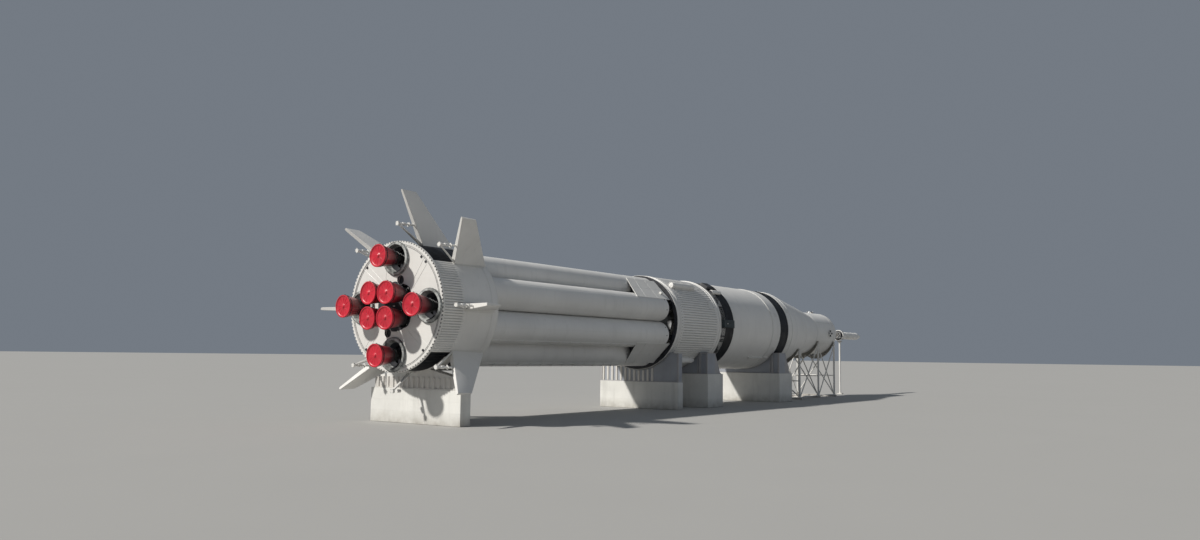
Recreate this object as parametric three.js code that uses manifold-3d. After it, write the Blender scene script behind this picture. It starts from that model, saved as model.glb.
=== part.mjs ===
import * as THREE from "three";
import { mergeVertices } from "three/addons/utils/BufferGeometryUtils.js";
import { ConvexGeometry } from "three/addons/geometries/ConvexGeometry.js";
import Module from "manifold-3d";

const wasm = await Module();
wasm.setup();

// The vehicle lies on its side, nose towards +X, at half scale.
// Every size and station below is in metres of the full-size vehicle. Stations run from the aft end.
const MM = 500; // model millimetres per full-size metre
const MID_STATION = 34.1405; // station at the middle of the length
const AXIS_HEIGHT = 6.0; // long axis above the ground
const FIT = 0.0006; // gap kept between pieces that touch
const HULL_STEPS = 32;
const HULL_STEP = 360 / HULL_STEPS; // degrees between the corners of the hull's rings
const WALL = 0.04;

// Tail
const SHROUD_R = 3.27;
const SHROUD_AFT = 1.451;
const SHROUD_FRONT = 5.5;
const SHROUD_COLLAR = 5.0; // the white collar ahead of the black quadrants starts here
const SHROUD_WALL = 0.03;
const SHROUD_RIBS = { count: 148, front: 3.3, depth: 0.028 };
const SHROUD_SKIN = 0.012; // skin left below the grooves between the ribs
const SHIELD_AFT = 1.31;
const SHIELD_FRONT = 1.41;
const RIM_R = 3.37;
const RIM_AFT = 1.29;
const RIM_FRONT = 1.45;
const FRAME_AFT = 2.84;
const FRAME_FRONT = 3.0;
const PORTS = [
  { y: -0.32, z: 1.35, r: 0.2 },
  { y: 0.5, z: -1.35, r: 0.2 },
];

// Engines, measured aft from the gimbal centre
const GIMBAL_STATION = 2.54;
const OUTER_R = 2.41;
const INNER_R = 0.81;
const CANT = THREE.MathUtils.degToRad(2);
const BOOT_R = 2.45;
const BOOT_OUTER = 0.87;
const OUTER_HOLE = 0.7;
const INNER_HOLE = 0.47;
const INNER_HOLE_CENTRE = 0.86;
const PIN_R = 0.03;
const PIN_HOLE_R = 0.034;
const BLOCK = 0.06; // half the gimbal block
const EAR_IN = 0.07;
const EAR_OUT = 0.1;

// Tank cluster
const TANK_R = 0.89;
const TANK_RING_R = 2.33;
const CENTRE_TANK_R = 1.33;
const TANK_AFT = 4.0;
const TANK_DOME = 0.42;
const TANK_FRONT = 23.62;
const BEAM_AFT = 24.0;
const BEAM_FRONT = 24.44;
const PANEL_AFT_SIDE = 19.6; // aft end of a valley panel at its edge nearer the side of the vehicle
const PANEL_AFT_TOP = 20.25; // and at its edge nearer the top or the bottom
const PANEL_FRONT = 23.7;
const PANEL_HALF = 0.93;
const PANEL_INNER = 3.03; // height of the panel's faces above the axis, square to the panel
const PANEL_OUTER = 3.072;
const TANK_FIT = 0.0008; // gap between a panel and the tanks that it rests on

// Upper stage and payload
const HULL_R = 3.3;
const INTERSTAGE_RIBS = { count: 112, aft: 24.8, front: 29.73, depth: 0.034 };
const INTERSTAGE_FRONT = 30.15;
const INTERSTAGE_BORE = 3.2;
const INTERSTAGE_BAND_R = 3.318; // plain band at each end of the ribs
const FLANGE_R = 3.36;
const AFT_BAND = 31.0;
const UPPER_TANK_AFT = 32.32;
const UPPER_TANK_FRONT = 39.14;
const SKIRT_STEP = { aft: 39.2, front: 39.3, r: 3.332 };
const FORWARD_BAND = 40.7;
const RING_AFT = 42.24;
const RING_FRONT = 43.15;
const MODULE_AFT = 51.69;
const MODULE_R = 1.96;
const MODULE_FRONT = 56.29;
const CREW_FRONT = 59.1;
const TOWER_FRONT = 62.0;
const MOTOR_R = 0.36;
const TIP = 68.3;

// Angles go round the axis from the near side: 0 near, 90 top, 180 far, 270 bottom.
const FINS = [
  { name: "fin_near", at: 0 },
  { name: "fin_upper_near", at: 45 },
  { name: "fin_top", at: 90 },
  { name: "fin_upper_far", at: 135 },
  { name: "fin_far", at: 180 },
  { name: "fin_lower_far", at: 225 },
  { name: "fin_lower_near", at: 315 },
];
const FIN_OUTLINE = [
  { s: 2.99, r: 3.2712, half: 0.16 },
  { s: 1.47, r: 6.08, half: 0.075 },
  { s: 2.5, r: 6.08, half: 0.03 },
  { s: 5.45, r: 3.2712, half: 0.05 },
];
const BRACKET = { s: 1.3, r: 4.28 }; // aft end of the bracket behind each fin
const OUTER_ENGINES = [
  { name: "near", at: 0 },
  { name: "top", at: 90 },
  { name: "far", at: 180 },
  { name: "bottom", at: 270 },
];
const INNER_ENGINES = [
  { name: "upper_near", at: 45 },
  { name: "upper_far", at: 135 },
  { name: "lower_far", at: 225 },
  { name: "lower_near", at: 315 },
];
const PANELS = [
  { name: "tank_panel_upper_near", at: 45, side: -1 },
  { name: "tank_panel_upper_far", at: 135, side: 1 },
  { name: "tank_panel_lower_far", at: 225, side: -1 },
  { name: "tank_panel_lower_near", at: 315, side: 1 },
];
const RETRO_ANGLES = [50, 130, 230, 310];
const MODULES = [
  { at: 1.7, s0: 30.33, s1: 32.3, half: 0.29 },
  { at: 60, s0: 30.42, s1: 32.0, half: 0.33 },
  { at: 181, s0: 30.33, s1: 32.3, half: 0.29 },
];
const ULLAGE_ANGLES = [46.5, 226.5];
const QUAD_ANGLES = [0, 90, 180, 270];
const CRADLES = [
  {
    name: "cradle_tail", s0: 2.79, s1: 3.53, half: 3.29, top: -4.2, horn: -3.6,
    seat: 3.28, a0: 2.8, a1: 3.5, foot: 0,
  },
  {
    name: "cradle_middle", s0: 24.18, s1: 24.79, half: 3.26, top: -4.14, horn: -2.15,
    seat: 3.325, a0: 24.2, a1: 24.77, foot: 0,
  },
  {
    name: "cradle_interstage", s0: 28.28, s1: 30.57, half: 3.3, top: -3.6, horn: -2.09,
    seat: 3.32, a0: 28.3, a1: 29.5, foot: 30.4,
  },
  {
    name: "cradle_forward", s0: 40.43, s1: 42.93, half: 3.3, top: -3.66, horn: -1.97,
    seat: 3.32, a0: 40.5, a1: 41.74, foot: 42.7,
  },
];
const GUSSET = 0.25; // thickness of the gusset ahead of a saddle
// Trestles: saddle radius, its reach each side of the bottom in degrees, half the width between legs.
const TRESTLES = [
  { s: 46.4, r: 2.82, lift: 56.25, y: 2.48 },
  { s: 52.1, r: 1.975, lift: 67.5, y: 1.87 },
  { s: 56.0, r: 1.975, lift: 67.5, y: 1.87 },
];
const SADDLE_WEB = 0.34; // depth of a trestle saddle's web at the bottom
const LEG_R = 0.09;
const POST_STATION = 62.4;

const WHITE = [0xe6e3dd, 0.45, 0.0];
const BLACK = [0x14161c, 0.5, 0.0];
const RED = [0xb5142a, 0.5, 0.0];
const STEEL = [0x9aa0a4, 0.45, 0.7];
const CONCRETE = [0xdedfda, 0.8, 0.0];

const rad = THREE.MathUtils.degToRad;
const vehicle = new THREE.Group();
vehicle.position.set(-MID_STATION * MM, 0, AXIS_HEIGHT * MM);

// A point of the vehicle in millimetres from station, radius and angle.
function polar(s, r, at) {
  return new THREE.Vector3(s * MM, -r * Math.cos(rad(at)) * MM, r * Math.sin(rad(at)) * MM);
}

function closed(geometry) {
  const g = geometry.index ? geometry.toNonIndexed() : geometry.clone();
  g.deleteAttribute("normal");
  g.deleteAttribute("uv");
  const merged = mergeVertices(g, 1e-3);
  return new wasm.Manifold(
    new wasm.Mesh({
      numProp: 3,
      vertProperties: merged.attributes.position.array,
      triVerts: new Uint32Array(merged.index.array),
    }),
  );
}

function opened(solid) {
  const m = solid.getMesh();
  const v = new Float32Array(m.numVert * 3);
  for (let i = 0; i < m.numVert; i++) {
    v.set(m.vertProperties.subarray(i * m.numProp, i * m.numProp + 3), i * 3);
  }
  const g = new THREE.BufferGeometry();
  g.setAttribute("position", new THREE.BufferAttribute(v, 3));
  g.setIndex(new THREE.BufferAttribute(new Uint32Array(m.triVerts), 1));
  g.computeVertexNormals();
  return g;
}

function joined(list) {
  return list.reduce((all, one) => all.add(one));
}

// A solid of revolution about the long axis. The profile lists [station, radius] pairs.
function turned(profile, steps = HULL_STEPS, loop = false) {
  let area = 0;
  profile.forEach(([s, r], i) => {
    const [s2, r2] = profile[(i + 1) % profile.length];
    area += r * s2 - r2 * s;
  });
  const ordered = area > 0 ? [...profile] : [...profile].reverse();
  if (loop) ordered.push(ordered[0]);
  const points = ordered.map(([s, r]) => new THREE.Vector2(r * MM, s * MM));
  return closed(new THREE.LatheGeometry(points, steps, Math.PI / 2).rotateZ(-Math.PI / 2));
}

function disc(s0, s1, r, steps = HULL_STEPS) {
  return turned([[s0, 0], [s0, r], [s1, r], [s1, 0]], steps);
}

function tube(s0, s1, outer, inner = outer - WALL) {
  return turned([[s0, inner], [s0, outer], [s1, outer], [s1, inner]], HULL_STEPS, true);
}

// A flat outline of [y, z] pairs across the axis, with or without a hole, made solid from station s0 to s1.
function across(outline, s0, s1, hole = []) {
  const flat = (line) => line.map(([y, z]) => new THREE.Vector2(y * MM, z * MM));
  const shape = new THREE.Shape(flat(outline));
  if (hole.length) shape.holes.push(new THREE.Path(flat(hole)));
  const g = new THREE.ExtrudeGeometry(shape, { depth: (s1 - s0) * MM, bevelEnabled: false });
  const turn = new THREE.Matrix4().makeBasis(
    new THREE.Vector3(0, 1, 0),
    new THREE.Vector3(0, 0, 1),
    new THREE.Vector3(1, 0, 0),
  );
  return closed(g.applyMatrix4(turn).translate(s0 * MM, 0, 0));
}

function onRing(r, at) {
  return [-r * Math.cos(rad(at)), r * Math.sin(rad(at))];
}

function arc(r, from, to, step = HULL_STEP) {
  const count = Math.max(1, Math.round(Math.abs(to - from) / step));
  return Array.from({ length: count + 1 }, (_, i) => onRing(r, from + ((to - from) * i) / count));
}

function sector(outer, inner, from, to, s0, s1) {
  return across([...arc(outer, from, to), ...arc(inner, to, from)], s0, s1);
}

// An arc cut by lengthwise grooves, which leave a rib at each step round the axis.
function ribbedArc(r, { count, depth }, from, to) {
  const step = 360 / count;
  const ribs = Math.round((to - from) / step);
  const corners = [[0.14, depth], [0.2, 0], [0.8, 0], [0.86, depth]]; // share of the step, depth below r
  return Array.from({ length: ribs }, (_, i) =>
    corners.map(([share, low]) => onRing(r - low, from + step * (i + share))),
  ).flat();
}

// A round bar between two points of the vehicle, given in millimetres.
function bar(a, b, r, steps = 8, r2 = r) {
  const line = new THREE.Vector3().subVectors(b, a);
  const g = new THREE.CylinderGeometry(r2 * MM, r * MM, line.length(), steps);
  const turn = new THREE.Quaternion().setFromUnitVectors(
    new THREE.Vector3(0, 1, 0),
    line.clone().normalize(),
  );
  const middle = new THREE.Vector3().addVectors(a, b).multiplyScalar(0.5);
  return closed(g.applyQuaternion(turn).translate(middle.x, middle.y, middle.z));
}

function box(s0, s1, y0, y1, z0, z1) {
  const g = new THREE.BoxGeometry((s1 - s0) * MM, (y1 - y0) * MM, (z1 - z0) * MM);
  return closed(g.translate(((s0 + s1) / 2) * MM, ((y0 + y1) / 2) * MM, ((z0 + z1) / 2) * MM));
}

// A box drawn at the top of the hull and turned round the axis to the angle.
function boxAt(s0, s1, half, r0, r1, at) {
  return box(s0, s1, -half, half, r0, r1).rotate([90 - at, 0, 0]);
}

function point(s, y, z) {
  return new THREE.Vector3(s * MM, y * MM, z * MM);
}

function add(name, solid, [colour, roughness, metalness], parent = vehicle) {
  const material = new THREE.MeshStandardMaterial({ color: colour, roughness, metalness });
  const mesh = new THREE.Mesh(opened(solid), material);
  mesh.name = name;
  parent.add(mesh);
  return mesh;
}

// Heat shield: a white disc with a raised rim, openings for the engines and a grey boot round each outer one.
const boot = [
  [SHIELD_AFT + 0.02, 0.68],
  [1.15, 0.73],
  [1.165, 0.79],
  [1.21, 0.85],
  [SHIELD_AFT + 0.02, BOOT_OUTER],
];
function drill(r, steps) {
  return bar(point(SHIELD_AFT - 0.1, 0, 0), point(SHIELD_FRONT + 0.1, 0, 0), r, steps);
}

function heatShield() {
  let shield = disc(SHIELD_AFT, SHIELD_FRONT, RIM_R - 0.05);
  const rim = [
    [RIM_AFT, 3.2],
    [RIM_AFT, RIM_R - 0.03],
    [RIM_AFT + 0.03, RIM_R],
    [RIM_FRONT, RIM_R],
    [RIM_FRONT, 3.2],
  ];
  shield = shield.add(turned(rim, HULL_STEPS, true));
  for (const { at } of OUTER_ENGINES) {
    const c = polar(0, BOOT_R, at);
    shield = shield.subtract(drill(OUTER_HOLE, 16).translate([0, c.y, c.z]));
    shield = shield.add(turned(boot, 20, true).translate([0, c.y, c.z]));
  }
  for (const { at } of INNER_ENGINES) {
    const c = polar(0, INNER_HOLE_CENTRE, at);
    shield = shield.subtract(drill(INNER_HOLE, 12).translate([0, c.y, c.z]));
  }
  for (const { y, z, r } of PORTS) {
    shield = shield.subtract(drill(r, 12).translate([0, y * MM, z * MM]));
  }
  return shield;
}
add("heat_shield", heatShield(), WHITE);

// Tail shroud: ribbed quadrants, white at the sides, black at top and bottom, tied by a white collar.
const inner = SHROUD_R - SHROUD_WALL;
const edge = 0.006; // degrees kept clear at each side of a quadrant
function shroudQuadrant(from, front) {
  const low = SHROUD_R - SHROUD_RIBS.depth - SHROUD_SKIN;
  const ribbed = [
    onRing(SHROUD_R, from + edge),
    ...ribbedArc(SHROUD_R, SHROUD_RIBS, from, from + 90),
    onRing(SHROUD_R, from + 90 - edge),
    ...arc(low, from + 90 - edge, from + edge, 4),
  ];
  const plain = sector(SHROUD_R, inner, from + edge, from + 90 - edge, SHROUD_RIBS.front, front);
  return across(ribbed, SHROUD_AFT, SHROUD_RIBS.front).add(plain);
}
const whites = joined([
  shroudQuadrant(-45, SHROUD_COLLAR + 0.01),
  shroudQuadrant(135, SHROUD_COLLAR + 0.01),
  tube(SHROUD_COLLAR, SHROUD_FRONT, SHROUD_R, inner),
]);
add("tail_shroud", whites, WHITE);
add("shroud_panel_top", shroudQuadrant(45, SHROUD_COLLAR - FIT), BLACK);
add("shroud_panel_bottom", shroudQuadrant(225, SHROUD_COLLAR - FIT), BLACK);

// A bracket that reaches aft of a fin, drawn for the top.
function bracket() {
  const end = point(BRACKET.s, 0, BRACKET.r);
  return joined([
    bar(end, point(2.5, 0, BRACKET.r + 0.04), 0.055, 6),
    bar(end, point(3.02, 0.09, 3.31), 0.045, 6),
    bar(end, point(3.02, -0.09, 3.31), 0.045, 6),
    box(BRACKET.s - 0.15, BRACKET.s + 0.01, -0.13, 0.13, BRACKET.r - 0.1, BRACKET.r + 0.1),
  ]);
}

// Fins: swept, thickest at the blunt aft edge.
function fin() {
  const corners = FIN_OUTLINE.flatMap(({ s, r, half }) => [point(s, -half, r), point(s, half, r)]);
  return closed(new ConvexGeometry(corners)).add(bracket());
}
for (const { name, at } of FINS) {
  add(name, fin().rotate([90 - at, 0, 0]), WHITE);
}
const lowBracket = joined([
  bar(point(BRACKET.s, 0, BRACKET.r), point(2.5, 0.09, 3.31), 0.045, 6),
  bar(point(BRACKET.s, 0, BRACKET.r), point(2.5, -0.09, 3.31), 0.045, 6),
  box(BRACKET.s - 0.15, BRACKET.s + 0.01, -0.13, 0.13, BRACKET.r - 0.1, BRACKET.r + 0.1),
  box(2.3, 2.7, -0.16, 0.16, SHROUD_R + 0.002, SHROUD_R + 0.09),
]);
add("bracket_bottom", lowBracket.rotate([180, 0, 0]), WHITE);

// Engine with its red cover, its gimbal centre at the origin and the axis towards -X.
const neck = [
  [-0.1, 0],
  [-0.1, 0.27],
  [-0.75, 0.2],
  [-1.5, 0.38],
  [-1.6, 0.43],
  [-2.42, 0.575],
  [-2.54, 0.59],
  [-2.54, 0.54],
  [-2.5, 0.5],
  [-2.5, 0.08],
  [-2.555, 0],
];
function coveredBell(at) {
  const turn = new THREE.Matrix4().makeRotationY(CANT);
  const round = new THREE.Matrix4().makeRotationX(rad(90 - at));
  const m = round.multiply(turn);
  return turned(neck, 16).transform(m.elements);
}

function ear(y0, y1, t0, t1) {
  const plate = box(-t1, -t0, y0, y1, -0.05, 0.05);
  return plate.subtract(bar(point(0, y0 - 0.02, 0), point(0, y1 + 0.02, 0), PIN_HOLE_R, 8));
}

// The yoke on the engine holds the upright pins. Its ears are drawn for the Y axis and turned to Z.
function yoke() {
  const ears = [ear(EAR_IN, EAR_OUT, -0.05, 0.12), ear(-EAR_OUT, -EAR_IN, -0.05, 0.12)];
  return joined(ears).rotate([90, 0, 0]).add(box(-0.16, -0.11, -0.1, 0.1, -0.1, 0.1));
}

function gimbalBlock() {
  return joined([
    box(-BLOCK, BLOCK, -BLOCK, BLOCK, -BLOCK, BLOCK),
    bar(point(0, -EAR_OUT - 0.004, 0), point(0, EAR_OUT + 0.004, 0), PIN_R, 8),
    bar(point(0, 0, -EAR_OUT - 0.004), point(0, 0, EAR_OUT + 0.004), PIN_R, 8),
  ]);
}

// Thrust frame: a bulkhead with a bracket for each steered engine and a barrel to the tanks.
let frame = disc(FRAME_AFT, FRAME_FRONT, 3.22, 20).add(disc(FRAME_AFT, 3.9, 0.9, 20));
for (const { name, at } of OUTER_ENGINES) {
  const c = polar(GIMBAL_STATION, OUTER_R, at);
  const stand = joined([
    ear(EAR_IN, EAR_OUT, -0.2, 0.05),
    ear(-EAR_OUT, -EAR_IN, -0.2, 0.05),
    box(0.14, FRAME_AFT - GIMBAL_STATION + 0.02, -0.1, 0.1, -0.1, 0.1),
  ]);
  frame = frame.add(stand.translate([c.x, c.y, c.z]));
  const holder = new THREE.Group();
  holder.position.copy(c);
  vehicle.add(holder);
  add("gimbal_block_" + name, gimbalBlock(), STEEL, holder);
  add("engine_" + name, coveredBell(at).add(yoke()), RED, holder);
}
for (let i = 0; i < 8; i++) {
  const c = polar(FRAME_FRONT - 0.05, TANK_RING_R, 22.5 + 45 * i);
  const d = polar(TANK_AFT - 0.002, TANK_RING_R, 22.5 + 45 * i);
  frame = frame.add(bar(c, d, 0.14, 6));
}
add("thrust_frame", frame, STEEL);

for (const { name, at } of INNER_ENGINES) {
  const c = polar(GIMBAL_STATION, INNER_R, at);
  const stem = bar(point(-0.15, 0, 0), point(FRAME_AFT - GIMBAL_STATION - FIT, 0, 0), 0.12, 8);
  const mesh = add("inner_engine_" + name, coveredBell(at).add(stem), RED);
  mesh.position.copy(c);
}

// Tanks: one large one ringed by eight, with rounded ends and a short stub ahead of each.
function tank(r, aft, front) {
  const cap = [0, 35, 65, 90];
  const back = cap.map((a) => [aft + TANK_DOME * (1 - Math.sin(rad(a))), r * Math.cos(rad(a))]).reverse();
  const fore = cap.slice(0, 3).map((a) => [front - TANK_DOME * (1 - Math.sin(rad(a))), r * Math.cos(rad(a))]);
  back[0][1] = 0;
  return turned([...back, ...fore, [front - 0.004, 0.12], [BEAM_AFT - FIT, 0.12], [BEAM_AFT - FIT, 0]], 16);
}
const tankRooms = [];
for (let i = 0; i < 8; i++) {
  const c = polar(0, TANK_RING_R, 22.5 + 45 * i);
  const one = tank(TANK_R, TANK_AFT, TANK_FRONT).translate([0, c.y, c.z]);
  const room = turned([[19, 0], [19, TANK_R + TANK_FIT], [25, TANK_R + TANK_FIT], [25, 0]], 16);
  tankRooms.push(room.translate([0, c.y, c.z]));
  add("tank_outer_" + (i + 1), one, WHITE);
}
add("tank_centre", tank(CENTRE_TANK_R, TANK_AFT, TANK_FRONT), WHITE);

// Beam ahead of the tanks: a ring, a hub and eight spokes.
const spokes = Array.from({ length: 8 }, (_, i) =>
  boxAt(BEAM_AFT, BEAM_FRONT - 0.05, 0.14, 0.6, 3.1, 22.5 + 45 * i),
);
const beam = joined([
  tube(BEAM_AFT, BEAM_FRONT, HULL_R, 3.0),
  disc(BEAM_AFT, BEAM_FRONT - 0.05, 0.8, 16),
  ...spokes,
]);
add("spider_beam", beam, WHITE);

// Flat panels that bridge the valleys between the tanks, with an aft end cut on the slant.
for (const { name, at, side } of PANELS) {
  const corners = [PANEL_INNER, PANEL_OUTER].flatMap((r) => [
    point(PANEL_AFT_SIDE, side * PANEL_HALF, r),
    point(PANEL_AFT_TOP, -side * PANEL_HALF, r),
    point(PANEL_FRONT, -PANEL_HALF, r),
    point(PANEL_FRONT, PANEL_HALF, r),
  ]);
  const plate = closed(new ConvexGeometry(corners)).rotate([90 - at, 0, 0]);
  add(name, tankRooms.reduce((rest, room) => rest.subtract(room), plate), WHITE);
}

// Interstage: a tube with a flange ahead and four small rocket fairings.
const retro = [
  [24.85, 0],
  [24.85, 0.14],
  [24.98, 0.21],
  [27.8, 0.21],
  [28.2, 0],
];
const retros = RETRO_ANGLES.map((at) => {
  const c = polar(0, HULL_R + 0.13, at);
  return turned(retro, 8).translate([0, c.y, c.z]);
});
const { aft: ribsAft, front: ribsFront } = INTERSTAGE_RIBS;
const boreLine = arc(INTERSTAGE_BORE, 360 - HULL_STEP, 0);
const interstage = joined([
  tube(BEAM_FRONT + FIT, ribsAft, INTERSTAGE_BAND_R, INTERSTAGE_BORE),
  across(ribbedArc(HULL_R, INTERSTAGE_RIBS, 0, 360), ribsAft, ribsFront, boreLine),
  tube(ribsFront, INTERSTAGE_FRONT - 0.14, INTERSTAGE_BAND_R, INTERSTAGE_BORE),
  tube(INTERSTAGE_FRONT - 0.15, INTERSTAGE_FRONT, FLANGE_R, INTERSTAGE_BORE),
]);
const bore = disc(24, 31, INTERSTAGE_BORE);
add("interstage", interstage.add(joined(retros).subtract(bore)), WHITE);

// Upper engine: one plain block.
add("upper_engine", bar(point(27.0, 0, 0), point(30.34, 0, 0), 1.0, 16), STEEL);

// Upper stage skirts, tank and bands.
add("aft_skirt", tube(INTERSTAGE_FRONT + FIT, AFT_BAND, HULL_R), WHITE);
// A small motor box on the band: steep at the aft end, sloping down ahead, with a foot in the band's skin.
function sideModule({ at, s0, s1, half }) {
  // station and height above the hull
  const slope = [
    [s0, 0.004],
    [s0 + 0.06, 0.22],
    [s1 - 0.55, 0.22],
    [s1, 0.06],
    [s1, 0.004],
  ];
  const corners = slope.flatMap(([s, h]) => [point(s, -half, HULL_R + h), point(s, half, HULL_R + h)]);
  const foot = boxAt(AFT_BAND + 0.2, s1 - 0.1, half - 0.05, HULL_R - 0.03, HULL_R + 0.02, at);
  return closed(new ConvexGeometry(corners)).rotate([90 - at, 0, 0]).add(foot);
}

// A short round motor beside the top module.
function ullageMotor(at) {
  const c = polar(0, HULL_R + 0.1, at);
  return turned([[30.4, 0], [30.4, 0.13], [31.7, 0.16], [32.0, 0]], 10).translate([0, c.y, c.z]);
}
const aftBand = joined([
  tube(AFT_BAND + FIT, UPPER_TANK_AFT - FIT, HULL_R),
  ...ULLAGE_ANGLES.map(ullageMotor),
  ...MODULES.map(sideModule),
]);
const skirtRoom = disc(30, AFT_BAND + FIT, HULL_R + 0.002);
const bandBore = disc(31, 33, HULL_R - WALL);
add("aft_band", aftBand.subtract(skirtRoom).subtract(bandBore), BLACK);
const upperTank = [
  [30.35, 0],
  [30.8, 2.1],
  [32.0, 3.2],
  [UPPER_TANK_AFT, 3.2],
  [UPPER_TANK_AFT, HULL_R],
  [UPPER_TANK_FRONT, HULL_R],
  [UPPER_TANK_FRONT, 3.2],
  [40.6, 2.1],
  [41.1, 0],
];
add("upper_tank", turned(upperTank), WHITE);
const step = tube(SKIRT_STEP.aft, SKIRT_STEP.front, SKIRT_STEP.r, HULL_R - WALL);
add("forward_skirt", tube(UPPER_TANK_FRONT + FIT, FORWARD_BAND, HULL_R).add(step), WHITE);
add("forward_band", tube(FORWARD_BAND + FIT, RING_AFT - FIT, HULL_R), BLACK);
add("instrument_ring", tube(RING_AFT, RING_FRONT, HULL_R), WHITE);

// Adapter cone, a shell open at both ends.
const cone = [
  [RING_FRONT + FIT, HULL_R - 0.05],
  [RING_FRONT + FIT, HULL_R],
  [MODULE_AFT - FIT, MODULE_R],
  [MODULE_AFT - FIT, MODULE_R - 0.05],
];
add("adapter_cone", turned(cone, HULL_STEPS, true), WHITE);

// Service module with a cross of four small nozzles on each side.
function quad(at) {
  const nozzles = [[-0.3, 0], [0.3, 0], [0, -0.3], [0, 0.3]].map(([s, w]) => {
    const from = point(54.74 + s * 0.35, w * 0.35, MODULE_R + 0.06);
    const to = point(54.74 + s, w, MODULE_R + 0.11);
    return bar(from, to, 0.05, 6, 0.09);
  });
  const base = box(54.5, 54.98, -0.2, 0.2, MODULE_R - 0.03, MODULE_R + 0.1);
  return joined([base, ...nozzles]).rotate([90 - at, 0, 0]);
}
const moduleBody = disc(MODULE_AFT, MODULE_FRONT, MODULE_R);
add("service_module", joined([moduleBody, ...QUAD_ANGLES.map(quad)]), WHITE);

const crew = [
  [MODULE_FRONT + FIT, 0],
  [MODULE_FRONT + FIT, 1.93],
  [MODULE_FRONT + 0.15, 1.93],
  [CREW_FRONT - 0.3, 0.62],
  [CREW_FRONT, 0.5],
  [CREW_FRONT, 0],
];
add("crew_module", turned(crew, 32), WHITE);

// Escape tower: four legs with rings of braces.
function escapeTower() {
  const corner = (s, half, i) => {
    const signs = [[1, 1], [1, -1], [-1, -1], [-1, 1]][i % 4];
    return point(s, signs[0] * half, signs[1] * half);
  };
  const halfAt = (s) => 0.33 - ((s - CREW_FRONT) / (TOWER_FRONT - CREW_FRONT)) * 0.08;
  const levels = [CREW_FRONT + 0.05, 60.5, TOWER_FRONT - 0.06];
  const parts = [];
  for (let i = 0; i < 4; i++) {
    parts.push(bar(corner(CREW_FRONT + 0.006, 0.33, i), corner(TOWER_FRONT - 0.006, 0.25, i), 0.045, 4));
    levels.forEach((s, k) => {
      parts.push(bar(corner(s, halfAt(s), i), corner(s, halfAt(s), i + 1), 0.03, 4));
      const next = levels[k + 1];
      if (next) parts.push(bar(corner(s, halfAt(s), i), corner(next, halfAt(next), i + 1), 0.025, 4));
    });
  }
  return joined(parts);
}
add("escape_tower", escapeTower(), WHITE);

const motor = [
  [TOWER_FRONT, 0],
  [TOWER_FRONT, 0.56],
  [TOWER_FRONT + 0.9, MOTOR_R],
  [67.0, MOTOR_R],
  [67.75, 0.2],
  [68.0, 0.07],
  [TIP, 0.05],
  [TIP, 0],
];
add("escape_motor", turned(motor, 20), WHITE);

// Cradles: a plinth with a saddle that follows the hull, rises in horns at the sides and leans on gussets.
for (const c of CRADLES) {
  const plinth = box(c.s0, c.s1, -c.half, c.half, -AXIS_HEIGHT, c.top);
  const low = Math.min(c.half - 0.02, 3.24);
  const lift = c.name === "cradle_tail" ? 40 : (Math.acos(-c.horn / c.seat) * 180) / Math.PI;
  const hollow = arc(c.seat, 270 + lift, 270 - lift, 6);
  const sides = c.name === "cradle_tail" ? 3.0 : low;
  const foot = c.top - 0.02;
  const outline = [[sides, foot], [sides, c.horn], ...hollow.reverse(), [-sides, c.horn], [-sides, foot]];
  const gussets = (c.foot ? [-1, 1] : []).map((side) => {
    const corners = [sides - GUSSET, sides].flatMap((y) => [
      point(c.a1 - 0.02, side * y, c.horn),
      point(c.a1 - 0.02, side * y, foot),
      point(c.foot, side * y, foot),
      point(c.foot - 0.2, side * y, c.top + 0.1),
    ]);
    return closed(new ConvexGeometry(corners));
  });
  add(c.name, joined([plinth, across(outline, c.a0, c.a1), ...gussets]), CONCRETE);
}

// Steel trestles under the cone and the modules: a crescent saddle on two legs, cross braced both ways.
function legTop({ r, y }) {
  return -Math.sqrt((r + 0.03) ** 2 - (y - LEG_R) ** 2);
}

function trestle(t) {
  const { s, r, lift, y } = t;
  const foot = -AXIS_HEIGHT;
  const [from, to] = [270 - lift, 270 + lift];
  const tip = (r + 0.06) * Math.sin(rad(lift));
  const under = arc(r + 0.06, to, from).map(([w, h]) => [w, h - SADDLE_WEB * (1 - (w / tip) ** 2)]);
  const parts = [
    sector(r + 0.06, r + 0.006, from, to, s - 0.2, s + 0.2),
    across([...arc(r + 0.03, from, to), ...under], s - 0.05, s + 0.05),
    box(s - 0.12, s + 0.12, -y - 0.25, y + 0.25, foot, foot + 0.16),
  ];
  for (const side of [-1, 1]) {
    parts.push(bar(point(s, side * y, foot + 0.05), point(s, side * y, legTop(t)), LEG_R, 8));
    parts.push(bar(point(s, side * y, foot + 0.1), point(s, -side * y * 0.35, -r - 0.1), 0.055, 4));
  }
  return joined(parts);
}
const ties = [];
for (let i = 0; i + 1 < TRESTLES.length; i++) {
  for (const side of [-1, 1]) {
    const [a, b] = [TRESTLES[i], TRESTLES[i + 1]];
    const ends = (one, z) => point(one.s, side * one.y, z);
    ties.push(bar(ends(a, -5.9), ends(b, legTop(b) - 0.25), 0.055, 4));
    ties.push(bar(ends(b, -5.9), ends(a, legTop(a) - 0.25), 0.055, 4));
  }
}
add("forward_trestle", joined([...TRESTLES.map(trestle), ...ties]), WHITE);

// Post under the escape motor.
const post = joined([
  bar(point(POST_STATION, 0, -5.98), point(POST_STATION, 0, -0.62), 0.09, 12),
  box(POST_STATION - 0.25, POST_STATION + 0.25, -0.25, 0.25, -AXIS_HEIGHT, -5.9),
  box(POST_STATION - 0.12, POST_STATION + 0.12, -0.2, 0.2, -0.68, -0.57),
]);
add("nose_post", post, WHITE);

export default vehicle;
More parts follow.
